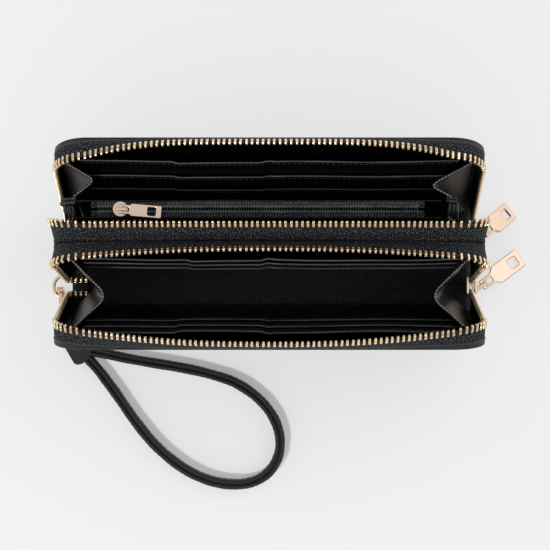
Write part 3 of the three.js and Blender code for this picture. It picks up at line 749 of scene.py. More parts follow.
# leather and tape: how far each leans out, in degrees, at the middle and at the corners
rims = {
    "front": {"leaf": "front", "body": "front_panel", "facing": 1, "face": 0.0006,
              "leather": (76, 36), "tape": (61, 32), "power": 2.6, "hold": 0.7, "edge": 0.0019},
    "wall_front": {"leaf": "wall", "body": "spine", "facing": -1, "face": 0.001,
                   "leather": (75, 52), "tape": (58, 39), "power": 2.5, "hold": 1.3,
                   "edge": 0.0007},
    "wall_back": {"leaf": "wall", "body": "spine", "facing": 1, "face": 0.001,
                  "leather": (58, 58), "tape": (39, 42), "power": 5, "hold": 1.7, "edge": 0.0007},
    "back": {"leaf": "back", "body": "back_panel", "facing": -1, "face": 0.0006,
             "leather": (73, 34), "tape": (48, 0), "power": 4.4, "hold": 0.9, "edge": 0.0019},
}


def rimSpans():
    # each span: its length and a function of the share along it giving (x, z, turn, side)
    straight = leaf["halfLength"] - leaf["corner"]
    shoulder = leaf["height"] - leaf["corner"]
    half, tail, big = leaf["halfLength"], row["tailRadius"], leaf["corner"]
    low = row["tailHeight"] + tail

    def line(a, b, turn, side):
        length = math.dist(a, b)
        return length, lambda t: (mix(a[0], b[0], t), mix(a[1], b[1], t), turn, side)

    def arc(cx, cz, radius, start, end, side):
        def at(t):
            turn = mix(start, end, t)
            return cx + radius * math.cos(turn), cz + radius * math.sin(turn), turn, side(t)
        return radius * abs(end - start), at

    pi = math.pi
    return [
        line((row["tailLength"] - half, row["tailHeight"]), (tail - half, row["tailHeight"]),
             -pi / 2, 1),
        arc(tail - half, low, tail, -pi / 2, -pi, lambda t: 1),
        line((-half, low), (-half, shoulder), pi, 1),
        arc(-straight, shoulder, big, pi, pi / 2, lambda t: 1 - t),
        line((-straight, leaf["height"]), (straight, leaf["height"]), pi / 2, 0),
        arc(straight, shoulder, big, pi / 2, 0, lambda t: t),
        line((half, shoulder), (half, row["foot"]), 0, 1),
    ]


def rimPlaces(spacing):
    # evenly spaced (x, z, turn, side, travelled) from the tail to the slider end
    spans = rimSpans()
    total = sum(length for length, at in spans)
    count = round(total / spacing)
    places = []
    for i in range(count + 1):
        distance = total * i / count
        rest = distance
        for length, at in spans:
            if rest <= length or (length, at) == spans[-1]:
                places.append((*at(min(rest / length, 1)), distance))
                break
            rest -= length
    return places


def rimCurve(rim, place):
    # the strip's run from under the leaf's edge to the teeth, in small steps
    mouth = min(abs(place[0]) / (leaf["halfLength"] - leaf["corner"]), 1) ** rim["power"]
    side = place[3] ** rim["hold"]

    def lean(angles):
        return math.radians(mix(mix(angles[0], angles[1], mouth), 0, side))

    leather, tape = lean(rim["leather"]), lean(rim["tape"])
    step, bend, before = row["step"], row["bend"], row["stepsBefore"]
    rise = row["lift"] * math.cos(leather) + row["roll"] * math.sin(2 * leather) - row["sunk"]
    out = (row["proud"] - before * step) * math.sin(leather) - row["borderThickness"] / 2
    inward = rim["face"] + mm * rise - before * step * math.cos(leather)
    distances = step * (np.arange(row["steps"]) - before)
    middles = distances + step / 2
    share = np.clip((middles - row["borderWidth"] + bend) / (2 * bend), 0, 1)
    turns = leather + (tape - leather) * share ** 2 * (3 - 2 * share)
    outs = out + np.concatenate([[0], np.cumsum(step * np.sin(turns))[:-1]])
    inwards = inward + np.concatenate([[0], np.cumsum(step * np.cos(turns))[:-1]])
    return distances, outs, inwards, turns


def rimPoint(rim, place, curve, distance, lift):
    x, z, turn = place[:3]
    distances, outs, inwards, turns = curve
    lean = np.interp(distance, distances, turns)
    out = np.interp(distance, distances, outs) + lift * math.cos(lean)
    inward = np.interp(distance, distances, inwards) - lift * math.sin(lean)
    return Vector((x + out * math.cos(turn), rim["facing"] * inward, z + out * math.sin(turn)))


def stripPiece(name, rim, places, section, material, wave=0.0):
    # a closed strip; section is a list of (across, lift)
    toWorld = leafMatrix(rim["leaf"])
    vertices, uv = [], []
    for place in places:
        curve = rimCurve(rim, place)
        ripple = wave * noise.noise(Vector((place[4] * 60, rim["facing"] * 7.0, 3.0)))
        for across, lift in section:
            vertices.append(toWorld @ rimPoint(rim, place, curve, across, lift + ripple))
            uv.append((place[4], across + lift))
    faces = sweptFaces(len(places), len(section))
    return meshPiece(name, vertices, faces, material, uv)


def stripSection(start, end, thickness, radius, crown=0.0):
    middle = (start + end) / 2
    section = []
    for across, lift in roundedSection(end - start, thickness, radius):
        bulge = crown * (1 - (2 * across / (end - start)) ** 2)
        section.append((middle + across, lift + bulge if lift > 0 else lift))
    # points along the long faces let the strip bend and the crown show
    dense = []
    for a, b in zip(section, section[1:] + section[:1]):
        dense.append(a)
        steps = round(math.dist(a, b) / 0.0007)
        for k in range(1, steps):
            across, lift = mix(a[0], b[0], k / steps), mix(a[1], b[1], k / steps)
            share = 2 * (across - middle) / (end - start)
            rise = thickness / 2 + crown * (1 - share ** 2)
            dense.append((across, rise if lift > 0 else lift))
    return dense


def toothTemplate():
    # (across, half along, half lift) up one tooth: clamped legs, then the locking head
    profile = [
        (0.00, 0.48, 0.8), (0.10, 0.60, 1.02), (0.7, 0.63, 1.10), (1.5, 0.61, 1.08),
        (1.95, 0.57, 1.02), (2.2, 0.54, 0.92), (2.5, 0.58, 0.95), (3.1, 0.61, 0.95),
        (3.45, 0.56, 0.84), (3.6, 0.38, 0.5),
    ]
    vertices = []
    for across, halfAlong, halfLift in profile:
        for x, z in roundedSection(2 * halfAlong, 2 * halfLift, min(halfAlong, halfLift) * 0.22, 2):
            vertices.append((x * mm, across * mm, z * mm))
    columns = len(roundedSection(1, 1, 0.2, 2))
    return np.array(vertices), sweptFaces(len(profile), columns)


def toothFrames(rim):
    toWorld = leafMatrix(rim["leaf"])
    places = rimPlaces(row["pitch"])
    root = row["borderWidth"] + row["teethFrom"]
    curves = [rimCurve(rim, place) for place in places]
    origins = [toWorld @ rimPoint(rim, p, c, root, 0) for p, c in zip(places, curves)]
    frames = []
    for i, place in enumerate(places):
        if place[0] > 0 and place[1] < row["lowestTooth"]:    # room for the slider and stop
            continue
        across = toWorld @ rimPoint(rim, place, curves[i], root + 0.001, 0) - origins[i]
        across.normalize()
        along = origins[min(i + 1, len(places) - 1)] - origins[max(i - 1, 0)]
        along = (along - across * along.dot(across)).normalized()
        frames.append((origins[i], along, across, along.cross(across)))
    return frames


def makeTeeth(name, rim):
    template, faces = toothTemplate()
    count = len(template)
    vertices, allFaces = [], []
    draws = random.Random(name)
    for k, (origin, along, across, lift) in enumerate(toothFrames(rim)):
        turn = draws.uniform(-row["toothTurn"], row["toothTurn"])
        basis = np.array([along * math.cos(turn) + across * math.sin(turn),
                          across * math.cos(turn) - along * math.sin(turn), lift])
        vertices.append(template @ basis + np.array(origin))
        allFaces.extend(tuple(k * count + v for v in face) for face in faces)
    return meshPiece(f"{name}_teeth", np.concatenate(vertices), allFaces, materials["toothGold"])


def makeRim(name):
    rim = rims[name]
    places = rimPlaces(row["spacing"])
    body = rim["body"]
    edge, bend = rim["edge"], row["borderWidth"]
    border = stripPiece(
        f"{name}_edge", rim, places,
        stripSection(-row["borderHidden"], edge, row["borderThickness"], row["borderRound"]),
        materials["leather" if edge > row["narrow"] else "twill"], row["borderRipple"],
    )
    settle(border, body, "leather", f"{name}_border")
    tape = stripPiece(
        f"{name}_tape", rim, places,
        stripSection(edge - row["tapeUnder"], bend + row["tapeTo"], row["tapeThickness"],
                     row["tapeRound"]),
        materials["twill"], row["tapeRipple"],
    )
    settle(tape, body, "twill", f"{name}_zip_tape")
    # the cord runs wide under the teeth so its brown shows in their gaps: painted shade and reflection
    bead = stripPiece(
        f"{name}_tape_bead", rim, places,
        stripSection(bend + row["beadFrom"], bend + row["beadTo"], row["beadThickness"],
                     row["beadRound"]),
        materials["cordGapShade"],
    )
    settle(bead, body, "twill")
    teeth = makeTeeth(name, rim)
    settle(teeth, body, "teeth", f"{name}_zip_teeth")
    if edge < row["narrow"]:                              # no leather shows, so no seam
        return
    toWorld = leafMatrix(rim["leaf"])
    across, lift = edge * row["seamAt"], row["borderThickness"] / 2
    path, outs = [], []
    for place in places:
        curve = rimCurve(rim, place)
        here = toWorld @ rimPoint(rim, place, curve, across, lift)
        path.append(here)
        outs.append((toWorld @ rimPoint(rim, place, curve, across, 2 * lift) - here).normalized())
    # the seam's lighter thread is a painted highlight along the edge
    seam = meshPiece(
        f"{name}_edge_stitching", *joinParts(stitchParts(path, outs, row["stitch"])),
        materials["seamThreadHighlight"],
    )
    settle(seam, body, "leather")


# covers, middle wall and linings

def leafOutline(halfWidth, foot, top, radius, steps=14):
    points = [(-halfWidth, foot), (halfWidth, foot)]
    for centre, start in ((halfWidth - radius, 0), (radius - halfWidth, math.pi / 2)):
        for k in range(steps + 1):
            turn = start + math.pi / 2 * k / steps
            points.append((centre + radius * math.cos(turn), top - radius + radius * math.sin(turn)))
    return points


def walkSteps(a, b):
    return max(1, round(math.dist(a, b) / 0.004))


def walked(outline):
    # the closed outline with points every few millimetres
    dense = []
    for a, b in zip(outline, outline[1:] + outline[:1]):
        steps = walkSteps(a, b)
        dense.extend(a.lerp(b, k / steps) for k in range(steps))
    return dense


def crownedSlab(halfWidth, foot, top, radius, low, high, crowns, edge, rings=9):
    # a soft slab in the XZ plane: loops shrink towards the middle while the faces swell
    dense = walked([Vector(p) for p in leafOutline(halfWidth, foot, top, radius)])
    centre = Vector((0, (foot + top) / 2))
    half = (high - low) / 2
    middle = (high + low) / 2

    def shrunk(point, inset):
        limit = Vector((halfWidth - inset, (top - foot) / 2 - inset))
        span = Vector((halfWidth, (top - foot) / 2))
        away = point - centre
        return centre + Vector((away.x * limit.x / span.x, away.y * limit.y / span.y))

    loops = []
    arcSteps, nearMiddle = 5, 0.96
    for k in range(arcSteps + 1):                     # rounded rim of the high face
        turn = math.pi / 2 * k / arcSteps
        loops.append((edge * (1 - math.cos(turn)), half - edge + edge * math.sin(turn)))
    lower = [(inset, -lift) for inset, lift in reversed(loops)]
    reach = min(halfWidth, (top - foot) / 2) * nearMiddle
    swell = []
    for k in range(1, rings + 1):
        share = k / rings
        swell.append((edge + (reach - edge) * share, half + crowns[1] * (1 - (1 - share) ** 3)))
    under = []
    for k in range(rings, 0, -1):
        share = k / rings
        under.append((edge + (reach - edge) * share, -half - crowns[0] * (1 - (1 - share) ** 3)))
    allLoops = under + lower + loops + swell
    vertices = []
    for inset, lift in allLoops:
        for point in dense:
            at = shrunk(point, inset)
            vertices.append(Vector((at.x, middle + lift, at.y)))
    return vertices, sweptFaces(len(allLoops), len(dense))


inner = {"halfLength": 0.100, "foot": 0.0085, "top": 0.091, "corner": 0.014, "thickness": 0.0006,
         "edge": 0.00025}


def makeLining(name, leafName, body, low, node):
    vertices, faces = crownedSlab(
        inner["halfLength"], inner["foot"], inner["top"], inner["corner"],
        low, low + inner["thickness"], (0, 0), inner["edge"],
    )
    toWorld = leafMatrix(leafName)
    cloth = meshPiece(name, [toWorld @ v for v in vertices], faces, materials["lining"])
    settle(cloth, body, "lining", node)


def makeCover(name, facing):
    cover = {"back": 0.0010, "face": 0.0006, "edge": 0.00065, "crown": 0.0005, "lining": 0.0009,
             "seamIn": 0.0028, "seamFoot": 0.002, "stitch": (0.0022, 0.0009, 0.0002)}
    low, high = sorted((-facing * cover["back"], facing * cover["face"]))
    crowns = (cover["crown"], 0) if facing > 0 else (0, cover["crown"])
    vertices, faces = crownedSlab(
        leaf["halfLength"], 0, leaf["height"], leaf["corner"], low, high, crowns, cover["edge"]
    )
    toWorld = leafMatrix(name)
    shell = meshPiece(f"{name}_shell", [toWorld @ v for v in vertices], faces, materials["leather"])
    settle(shell, f"{name}_panel", "leather", f"{name}_cover")
    # seam round the outside face
    seamIn = cover["seamIn"]
    outline = leafOutline(
        leaf["halfLength"] - seamIn, cover["seamFoot"], leaf["height"] - seamIn, leaf["corner"] - seamIn
    )
    path = walked([Vector(p) for p in outline])[walkSteps(outline[0], outline[1]):]
    away = -facing * (cover["back"] + 0.00008)
    lying = [toWorld @ Vector((p.x, away, p.y)) for p in path]
    out = (toWorld.to_3x3() @ Vector((0, -facing, 0))).normalized()
    seam = meshPiece(
        f"{name}_shell_stitching",
        *joinParts(stitchParts(lying, [out] * len(lying), cover["stitch"])),
        materials["thread"],
    )
    settle(seam, f"{name}_panel", "leather")
    low = cover["lining"] if facing > 0 else -cover["lining"] - inner["thickness"]
    makeLining(f"{name}_inner_cloth", name, f"{name}_panel", low, f"{name}_lining")


def makeWall():
    wall = {"inset": 0.002, "half": 0.001, "edge": 0.0008, "lining": 0.0013}
    toWorld = leafMatrix("wall")
    inset = wall["inset"]
    vertices, faces = crownedSlab(
        leaf["halfLength"] - inset, 0, leaf["height"] - inset, leaf["corner"] - inset,
        -wall["half"], wall["half"], (0, 0), wall["edge"],
    )
    board = meshPiece("wall_board", [toWorld @ v for v in vertices], faces, materials["leather"])
    settle(board, "spine", "leather", "middle_wall")
    makeLining("wall_back_cloth", "wall", "spine", wall["lining"], "wall_back_lining")


# card pockets

# tops: each pocket's height and how far its edge stands off the leaf, in millimetres
tiers = {
    "front": {"leaf": "front", "body": "front_panel", "facing": 1, "root": 0.0015,
              "tops": [(84, 5.4), (71, 5.9), (58, 6.4)]},
    "wall_front": {"leaf": "wall", "body": "spine", "facing": -1, "root": 0.001,
                   "tops": [(84, 7.5), (71, 8.2), (58, 8.9)]},
    "back": {"leaf": "back", "body": "back_panel", "facing": -1, "root": 0.0015,
             "tops": [(84, 7.3), (66, 7.5), (50, 7.9)]},
}


tier = {
    "foot": 0.008, "halfWidth": 0.089, "thickness": 0.0008, "gap": 0.0003, "hem": 0.0022,
    "half": 0.00022, "rolled": 0.00048, "bead": 0.0004, "columns": 121,
    "stitch": (0.0018, 0.0008, 0.00013), "seamLift": 0.00046,
    # the mouth's slackness: dip and pinch at the middle seam, bellies and steps by the cards
    "mouth": 0.084, "dip": 0.0008, "belly": 0.0005, "pinch": 0.0004, "wander": 0.0007,
    "cardStep": 0.00045, "cardEdge": -0.0496, "seamStep": 0.0003, "seamEdge": -0.003,
}


def slouch(x, z, seed):
    # how far the pockets' cloth stands off between its seams
    rise = z / tier["mouth"]
    middle = abs(abs(x) / (tier["halfWidth"] / 2) - 1)
    belly = tier["belly"] * (1 - min(middle, 1) ** 2) * rise ** 2
    pinch = tier["pinch"] * math.exp(-(x / 0.0022) ** 2) * rise
    cardEdge, seamEdge = tier["cardEdge"] + seed * 0.0004, tier["seamEdge"]
    step = tier["cardStep"] * math.tanh((x - cardEdge) / 0.0009) * rise
    step -= tier["seamStep"] * math.tanh((x - seamEdge) / 0.0005) * rise
    wander = tier["wander"] * noise.noise(Vector((x * 26, z * 9, seed))) * rise
    return belly - pinch + step + wander


def tierSection(top):
    # up the back, over the rolled edge and down the front to the hem's fold
    foot, half, rolled = tier["foot"], tier["half"], tier["rolled"]
    rows = [(foot + (top - 0.001 - foot) * k / 12, -half) for k in range(13)]
    for k in range(7):
        turn = math.pi * k / 6
        rows.append((top - rolled + rolled * math.sin(turn), -rolled * math.cos(turn)))
    rows += [(top - tier["hem"], rolled * 0.95), (top - tier["hem"] - 0.0002, half)]
    rows += [(foot + (top - 0.003 - foot) * k / 12, half) for k in range(12, -1, -1)]
    return rows


def makeCardTiers(name):
    group = tiers[name]
    toWorld = leafMatrix(group["leaf"])
    out = (toWorld.to_3x3() @ Vector((0, group["facing"], 0))).normalized()
    seed = 3.0 * len(name)
    shares = [2 * k / (tier["columns"] - 1) - 1 for k in range(tier["columns"])]
    for i, (top, standOff) in enumerate(group["tops"]):
        top, standOff = top * mm, standOff * mm
        layer = tier["thickness"] + tier["gap"]
        root = group["root"] + tier["gap"] + i * layer + tier["thickness"] / 2

        def onPocket(x, z, lift):
            share = (z - tier["foot"]) / (top - tier["foot"])
            off = mix(root, standOff, share) + lift + slouch(x, z, seed)
            drop = tier["dip"] * math.exp(-(x / 0.004) ** 2) * smoothStep((share - 0.7) / 0.3)
            return toWorld @ Vector((x, group["facing"] * off, z - drop))

        section = tierSection(top)
        vertices = [onPocket(tier["halfWidth"] * t, z, lift) for t in shares for z, lift in section]
        pocket = f"{name}_pocket_{i + 1}"
        cloth = meshPiece(
            pocket, vertices, sweptFaces(len(shares), len(section)), materials["lining"]
        )
        settle(cloth, group["body"], "lining", f"{name}_card_tier_{i + 1}")
        lip = [onPocket(tier["halfWidth"] * t, top, 0) + toWorld.to_3x3() @ Vector((0, 0, 0.0001))
               for t in shares]
        # the lip's bead wears the lighter grey: a painted highlight along the pocket's rolled edge
        bead = meshPiece(f"{pocket}_edge", *wireTube(lip, tier["bead"], 8), materials["liningEdgeHighlight"])
        settle(bead, group["body"], "lining")
        seamHeight = top - tier["hem"] + 0.0004
        path = [onPocket((tier["halfWidth"] - 0.001) * t, seamHeight, tier["seamLift"]) for t in shares]
        threads = joinParts(stitchParts(path, [out] * len(path), tier["stitch"]))
        seam = meshPiece(f"{pocket}_stitching", *threads, materials["thread"])
        settle(seam, group["body"], "lining")


# gussets: folded fans with a stitched, bound top edge

# low and top: panel end, crease and wall end of the fold, in millimetres
fans = {
    "front_gusset_left": {"panel": "front_panel", "low": [(-97, -23.5), (-87, -13), (-97, -2.5)],
                          "top": [(-96, -35), (-76.5, -17), (-97, 3.6)]},
    "front_gusset_right": {"panel": "front_panel", "low": [(97, -23.5), (87, -13), (97, -2.5)],
                           "top": [(96, -35), (76, -17), (97, 3.6)]},
    "back_gusset_left": {"panel": "back_panel", "low": [(-97, 25.5), (-91, 20.5), (-95.5, 15.8)],
                         "top": [(-97, 46.5), (-82.5, 38), (-93.5, 29.5)]},
    "back_gusset_right": {"panel": "back_panel", "low": [(97, 25.5), (88, 20.5), (87, 15.8)],
                          "top": [(96.5, 46.5), (76, 35.5), (87.5, 29.3)]},
    "coin_gusset_left": {"panel": None, "low": [(-95.5, 13.4), (-93, 8.5), (-97, 4.6)],
                         "top": [(-94.5, 27.6), (-93, 19.5), (-97, 11.2)]},
    "coin_gusset_right": {"panel": None, "low": [(86, 13.4), (84.5, 8.5), (97, 4.6)],
                          "top": [(86.5, 27.4), (84, 20.5), (97, 11.2)]},
}


fanCloth = {
    "foot": 0.007, "low": 0.017, "top": 0.079, "half": 0.00025, "rows": 22, "sag": 0.0006,
    "blendHeight": 0.07, "hem": 0.0006, "stitch": (0.0010, 0.0007, 0.00030), "seamLift": 0.00062,
}


def fanLine(points, count=17, rounding=0.22):
    # from wall to wall round the softened crease
    start, fold, end = [Vector(p) * mm for p in points]
    a, b = fold.lerp(start, rounding), fold.lerp(end, rounding)
    line = [start.lerp(a, k / count) for k in range(count)]
    line += [a * (1 - t) ** 2 + fold * 2 * t * (1 - t) + b * t ** 2 for t in np.linspace(0, 1, 9)]
    line += [b.lerp(end, (k + 1) / count) for k in range(count)]
    return line


def makeFan(name, fan):
    foot, low, top = fanCloth["foot"], fanCloth["low"], fanCloth["top"]
    lowLine, topLine = fanLine(fan["low"]), fanLine(fan["top"])
    rows = fanCloth["rows"]
    grid = []
    for i in range(rows):
        z = mix(foot, top, i / (rows - 1))
        share = max(0.0, (z - low) / (top - low))
        line = []
        for j, (a, b) in enumerate(zip(lowLine, topLine)):
            at = a.lerp(b, share)
            across = j / (len(topLine) - 1)
            sag = fanCloth["sag"] * noise.noise(Vector((at.x * 45, at.y * 60, z * 40)))
            sag *= math.sin(math.pi * across)
            line.append(Vector((at.x + sag, at.y, z)))
        grid.append(line)
    columns = len(topLine)
    body = "spine"
    if fan["panel"]:
        wallY, panelY = fan["top"][2][1] * mm, fan["top"][0][1] * mm
        height = fanCloth["blendHeight"]
        body = ("spine", fan["panel"], (0, wallY, height), (0, panelY, height))
    # two faces half a millimetre apart, joined round the edge
    vertices = []
    for side in (1, -1):
        for line in grid:
            for j, point in enumerate(line):
                along = line[min(j + 1, columns - 1)] - line[max(j - 1, 0)]
                out = Vector((-along.y, along.x, 0)).normalized()
                vertices.append(point + out * fanCloth["half"] * side)
    size = rows * columns
    faces = gridFaces(rows, columns) + [f[::-1] for f in gridFaces(rows, columns, first=size)]
    for j in range(columns - 1):
        faces.append((j, j + 1, size + j + 1, size + j))
        last = (rows - 1) * columns
        faces.append((last + j + 1, last + j, size + last + j, size + last + j + 1))
    for i in range(rows - 1):
        a, b = i * columns, (i + 1) * columns
        faces.append((b, a, size + a, size + b))
        farA, farB = a + columns - 1, b + columns - 1
        faces.append((farA, farB, size + farB, size + farA))
    cloth = meshPiece(f"{name}_cloth", vertices, faces, materials["gusset"])
    settle(cloth, body, "gusset", name)
    edge = grid[-1]
    hem = meshPiece(
        f"{name}_hem", *wireTube([p + Vector((0, 0, 0.0001)) for p in edge], fanCloth["hem"], 10),
        materials["binding"],
    )
    settle(hem, body, "gusset")
    ups = [Vector((0, 0, 1))] * len(edge)
    threads = [p + Vector((0, 0, fanCloth["seamLift"])) for p in edge]
    seam = meshPiece(
        f"{name}_hem_stitching", *joinParts(stitchParts(threads, ups, fanCloth["stitch"])),
        materials["paleThread"],
    )
    settle(seam, body, "gusset")


foldRolls = {
    "left": {"from": (-98.5, 26.6, 80), "to": (-91.5, 27.4, 81), "radius": 1.3,
             "top": (-95.4, 26.4, 80), "foot": (-93.8, 17.2, 78)},
    "right": {"from": (88.5, 27.6, 80.5), "to": (83.5, 28.2, 81), "radius": 1.0,
              "top": (87.0, 27.2, 80), "foot": (86.2, 19.0, 78)},
}


def makeFoldRolls():
    # the gussets' bound ends, rolled over the pocket's corners
    strands, strandRadius = (-1.4, 0.3, 1.7), 0.0009
    for side, roll in foldRolls.items():
        start, end, top, foot = [Vector(roll[key]) * mm for key in ("from", "to", "top", "foot")]
        radius = roll["radius"] * mm
        path = [start.lerp(end, k / 8) + Vector((0, 0, 0.0004 * math.sin(k * 0.8))) for k in range(9)]
        lower = [p + Vector((0, radius * 1.5, -0.0006)) for p in path]
        parts = [wireTube(path, radius, 12), wireTube(lower, radius * 0.7, 10)]
        for k, across in enumerate(strands):
            strand = []
            for t in np.linspace(0, 1, 12):
                rise = 0.0012 * math.sin(math.pi * t) - 0.0004 * k
                strand.append(top.lerp(foot, t) + Vector((across * mm * (1 + 0.4 * t), 0, rise)))
            parts.append(wireTube(strand, strandRadius, 10))
        piece = meshPiece(f"fold_roll_{side}", *joinParts(parts), materials["binding"])
        settle(piece, "spine", "gusset")


# coin pocket: two walls, its tapes and a nylon coil

coin = {
    "left": -0.091, "right": 0.081, "foot": 0.0125, "top": 0.024, "height": 0.0845,
    "halfMouth": 0.0034, "zipLeft": -0.081, "zipRight": 0.070, "pitch": 0.0012,
    "tapeRun": 0.003, "tapeThickness": 0.0005, "tapeLift": 0.0003, "wire": 0.00028,
    "stitch": (0.0008, 0.0005, 0.00013), "seams": (0.00245, 0.0031), "seamLift": 0.00064,
}


coinWall = {"foot": 0.005, "footHalf": 0.0009, "lip": 0.0006, "rise": 0.0009, "half": 0.0002,
            "belly": 0.00066, "wander": 0.0005, "columns": 91, "slack": 1.03}
coil = {"stand": 0.00115, "deep": 0.00072, "tall": 0.00048, "skew": 0.00012, "lift": 0.0015,
        "steps": 10}


def makeCoinWall(side, name):
    bottom = Vector((0, coin["foot"] + side * coinWall["footHalf"], coinWall["foot"]))
    mouth = coin["top"] + side * (coin["halfMouth"] + coinWall["lip"])
    top = Vector((0, mouth, coin["height"] + coinWall["rise"]))
    across = Vector((0, top.z - bottom.z, bottom.y - top.y)).normalized() * side
    # (share of the height, lift) up one face, over the rolled lip and down the other
    half = coinWall["half"]
    rows = [(k / 14 * 0.985, -half) for k in range(15)]
    for k in range(7):
        turn = math.pi * k / 6
        rows.append((0.994 + 0.006 * math.sin(turn), -2 * half * math.cos(turn)))
    rows += [(k / 14 * 0.965, half) for k in range(14, -1, -1)]
    columns = coinWall["columns"]
    vertices = []
    for c in range(columns):
        share = c / (columns - 1)
        x = mix(coin["left"], coin["right"], share)
        pull = math.sin(math.pi * share)
        for up, lift in rows:
            belly = coinWall["belly"] * math.sin(math.pi * min(up, 1)) * pull
            wander = noise.noise(Vector((x * 30, side * 4.0, up * 2.0))) * up * pull
            at = bottom.lerp(top, up) + across * (lift + belly + coinWall["wander"] * wander)
            vertices.append(Vector((x, at.y, at.z)))
    cloth = meshPiece(
        f"coin_wall_{name}", vertices, sweptFaces(columns, len(rows)), materials["lining"]
    )
    settle(cloth, "spine", "lining", f"coin_pocket_{name}")


def coilPoints(side):
    points = []
    turns = round((coin["zipRight"] - coin["zipLeft"]) / coin["pitch"])
    for k in range(turns * coil["steps"] + 1):
        turn = 2 * math.pi * k / coil["steps"]
        along = coin["zipLeft"] + coin["pitch"] * k / coil["steps"]
        deep = coil["stand"] + coil["deep"] * math.cos(turn)
        points.append(Vector((
            along + coil["skew"] * math.sin(turn), coin["top"] + side * deep,
            coin["height"] + coil["lift"] + coil["tall"] * math.sin(turn),
        )))
    return points


def makeCoinTape(side, name):
    count = 80
    vertices, uv = [], []
    section = stripSection(0.0006, coin["halfMouth"] + 0.0003, coin["tapeThickness"], 0.0002, 0.0001)
    for k in range(count):
        x = mix(coin["zipLeft"] - coin["tapeRun"], coin["zipRight"] + coin["tapeRun"], k / (count - 1))
        sag = 0.0002 * noise.noise(Vector((x * 50, side * 3.0, 0)))
        height = coin["height"] + coin["tapeLift"] + sag
        for across, lift in section:
            vertices.append(Vector((x, coin["top"] + side * across, height + lift)))
            uv.append((x, across + lift))
    tape = meshPiece(
        f"coin_tape_{name}", vertices, sweptFaces(count, len(section)), materials["coinTape"], uv
    )
    settle(tape, "spine", "twill", f"coin_zip_tape_{name}")


def makeCoinZip():
    steps = 60
    for side, name in ((-1, "front"), (1, "back")):
        makeCoinWall(side, name)
        makeCoinTape(side, name)
        wire = wireTube(coilPoints(side), coin["wire"], 5)
        wound = meshPiece(f"coin_coil_{name}", *wire, materials["nylon"])
        settle(wound, "spine", "nylon", f"coin_zip_coil_{name}")
        rowsOfThread = []
        for across in coin["seams"]:
            y, z = coin["top"] + side * across, coin["height"] + coin["seamLift"]
            line = [Vector((mix(coin["zipLeft"], coin["zipRight"], k / steps), y, z))
                    for k in range(steps + 1)]
            rowsOfThread.extend(stitchParts(line, [Vector((0, 0, 1))] * len(line), coin["stitch"]))
        seam = meshPiece(f"coin_tape_stitching_{name}", *joinParts(rowsOfThread), materials["nylon"])
        settle(seam, "spine", "nylon")


# spine and the skins at its folds

spine = {"left": -0.099, "right": 0.1025, "halfWidth": 0.026, "thickness": 0.002, "edge": 0.0009,
         "tuck": 0.05, "tuckFrom": 0.97, "skinHalf": 0.0985, "skin": (0.0005, 0.00035), "count": 60}


def makeFoldSkin(name, side):
    # the cover's leather where it bends into the spine
    toWorld = leafMatrix(name)
    outer = toWorld @ Vector((0, side * 0.001, 0.004))
    foot = toWorld @ Vector((0, side * 0.0013, 0.0005))
    low = Vector((0, side * 0.0254, 0.0006))
    under = Vector((0, side * 0.0235, 0.00015))
    curve = [
        outer * (1 - t) ** 3 + foot * 3 * t * (1 - t) ** 2 + low * 3 * t ** 2 * (1 - t) + under * t ** 3
        for t in np.linspace(0, 1, 9)
    ]
    inwards, upwards = spine["skin"]
    skin = []
    for k in range(spine["count"]):
        x = spine["skinHalf"] * (2 * k / (spine["count"] - 1) - 1)
        skin += [Vector((x, p.y, p.z)) for p in curve]
        skin += [Vector((x, p.y - side * inwards, p.z + upwards)) for p in reversed(curve)]
    fold = meshPiece(
        f"{name}_fold_skin", skin, sweptFaces(spine["count"], 2 * len(curve)), materials["leather"]
    )
    settle(fold, ("spine", f"{name}_panel", (0, side * 0.0245, 0.001), (0, outer.y, outer.z)),
           "leather")


def makeSpine():
    section = roundedSection(2 * spine["halfWidth"], spine["thickness"], spine["edge"], 5)
    count = spine["count"]
    vertices = []
    for k in range(count):
        share = k / (count - 1)
        x = mix(spine["left"], spine["right"], share)
        beyond = max(0, abs(2 * share - 1) - spine["tuckFrom"]) / (1 - spine["tuckFrom"])
        tuck = 1 - spine["tuck"] * beyond
        for y, z in section:
            vertices.append(Vector((x, y * tuck, z + spine["thickness"] / 2)))
    base = meshPiece("spine_board", vertices, sweptFaces(count, len(section)), materials["leather"])
    settle(base, "spine", "leather", "spine_base")
    makeFoldSkin("front", -1)
    makeFoldSkin("back", 1)


# metal parts

def roundedCopy(node, material, slot, body, bevel):
    # the node's own shape with its sharp edges eased
    source = frame["nodes"][node]
    mesh = source.data.copy()
    work = bmesh.new()
    work.from_mesh(mesh)
    bmesh.ops.remove_doubles(work, verts=work.verts, dist=1e-6)
    bmesh.ops.dissolve_limit(
        work, angle_limit=math.radians(2), verts=work.verts, edges=work.edges
    )
    work.to_mesh(mesh)
    work.free()
    mesh.materials.clear()
    mesh.materials.append(material)
    piece = bpy.data.objects.new(f"{node}_made", mesh)
    bpy.context.scene.collection.objects.link(piece)
    mesh.polygons.foreach_set("use_smooth", [True] * len(mesh.polygons))
    rounding = piece.modifiers.new("rounding", "BEVEL")
    rounding.width = bevel
    rounding.segments = 3
    rounding.limit_method = "ANGLE"
    rounding.angle_limit = math.radians(32)
    rounding.use_clamp_overlap = True
    weighted(piece)
    return settle(piece, body, slot, node)


def pullOutline(pull):
    half, neck, shoulder, length = pull["half"], pull["neck"], pull["shoulder"], pull["length"]
    points = [
        (-pull["bar"], -neck), (pull["slot"] + 0.5, -neck), (shoulder, -half), (length, -half),
        (length, half), (shoulder, half), (pull["slot"] + 0.5, neck), (-pull["bar"], neck),
    ]
    return [p * mm for p in filleted(points, pull["corner"])]


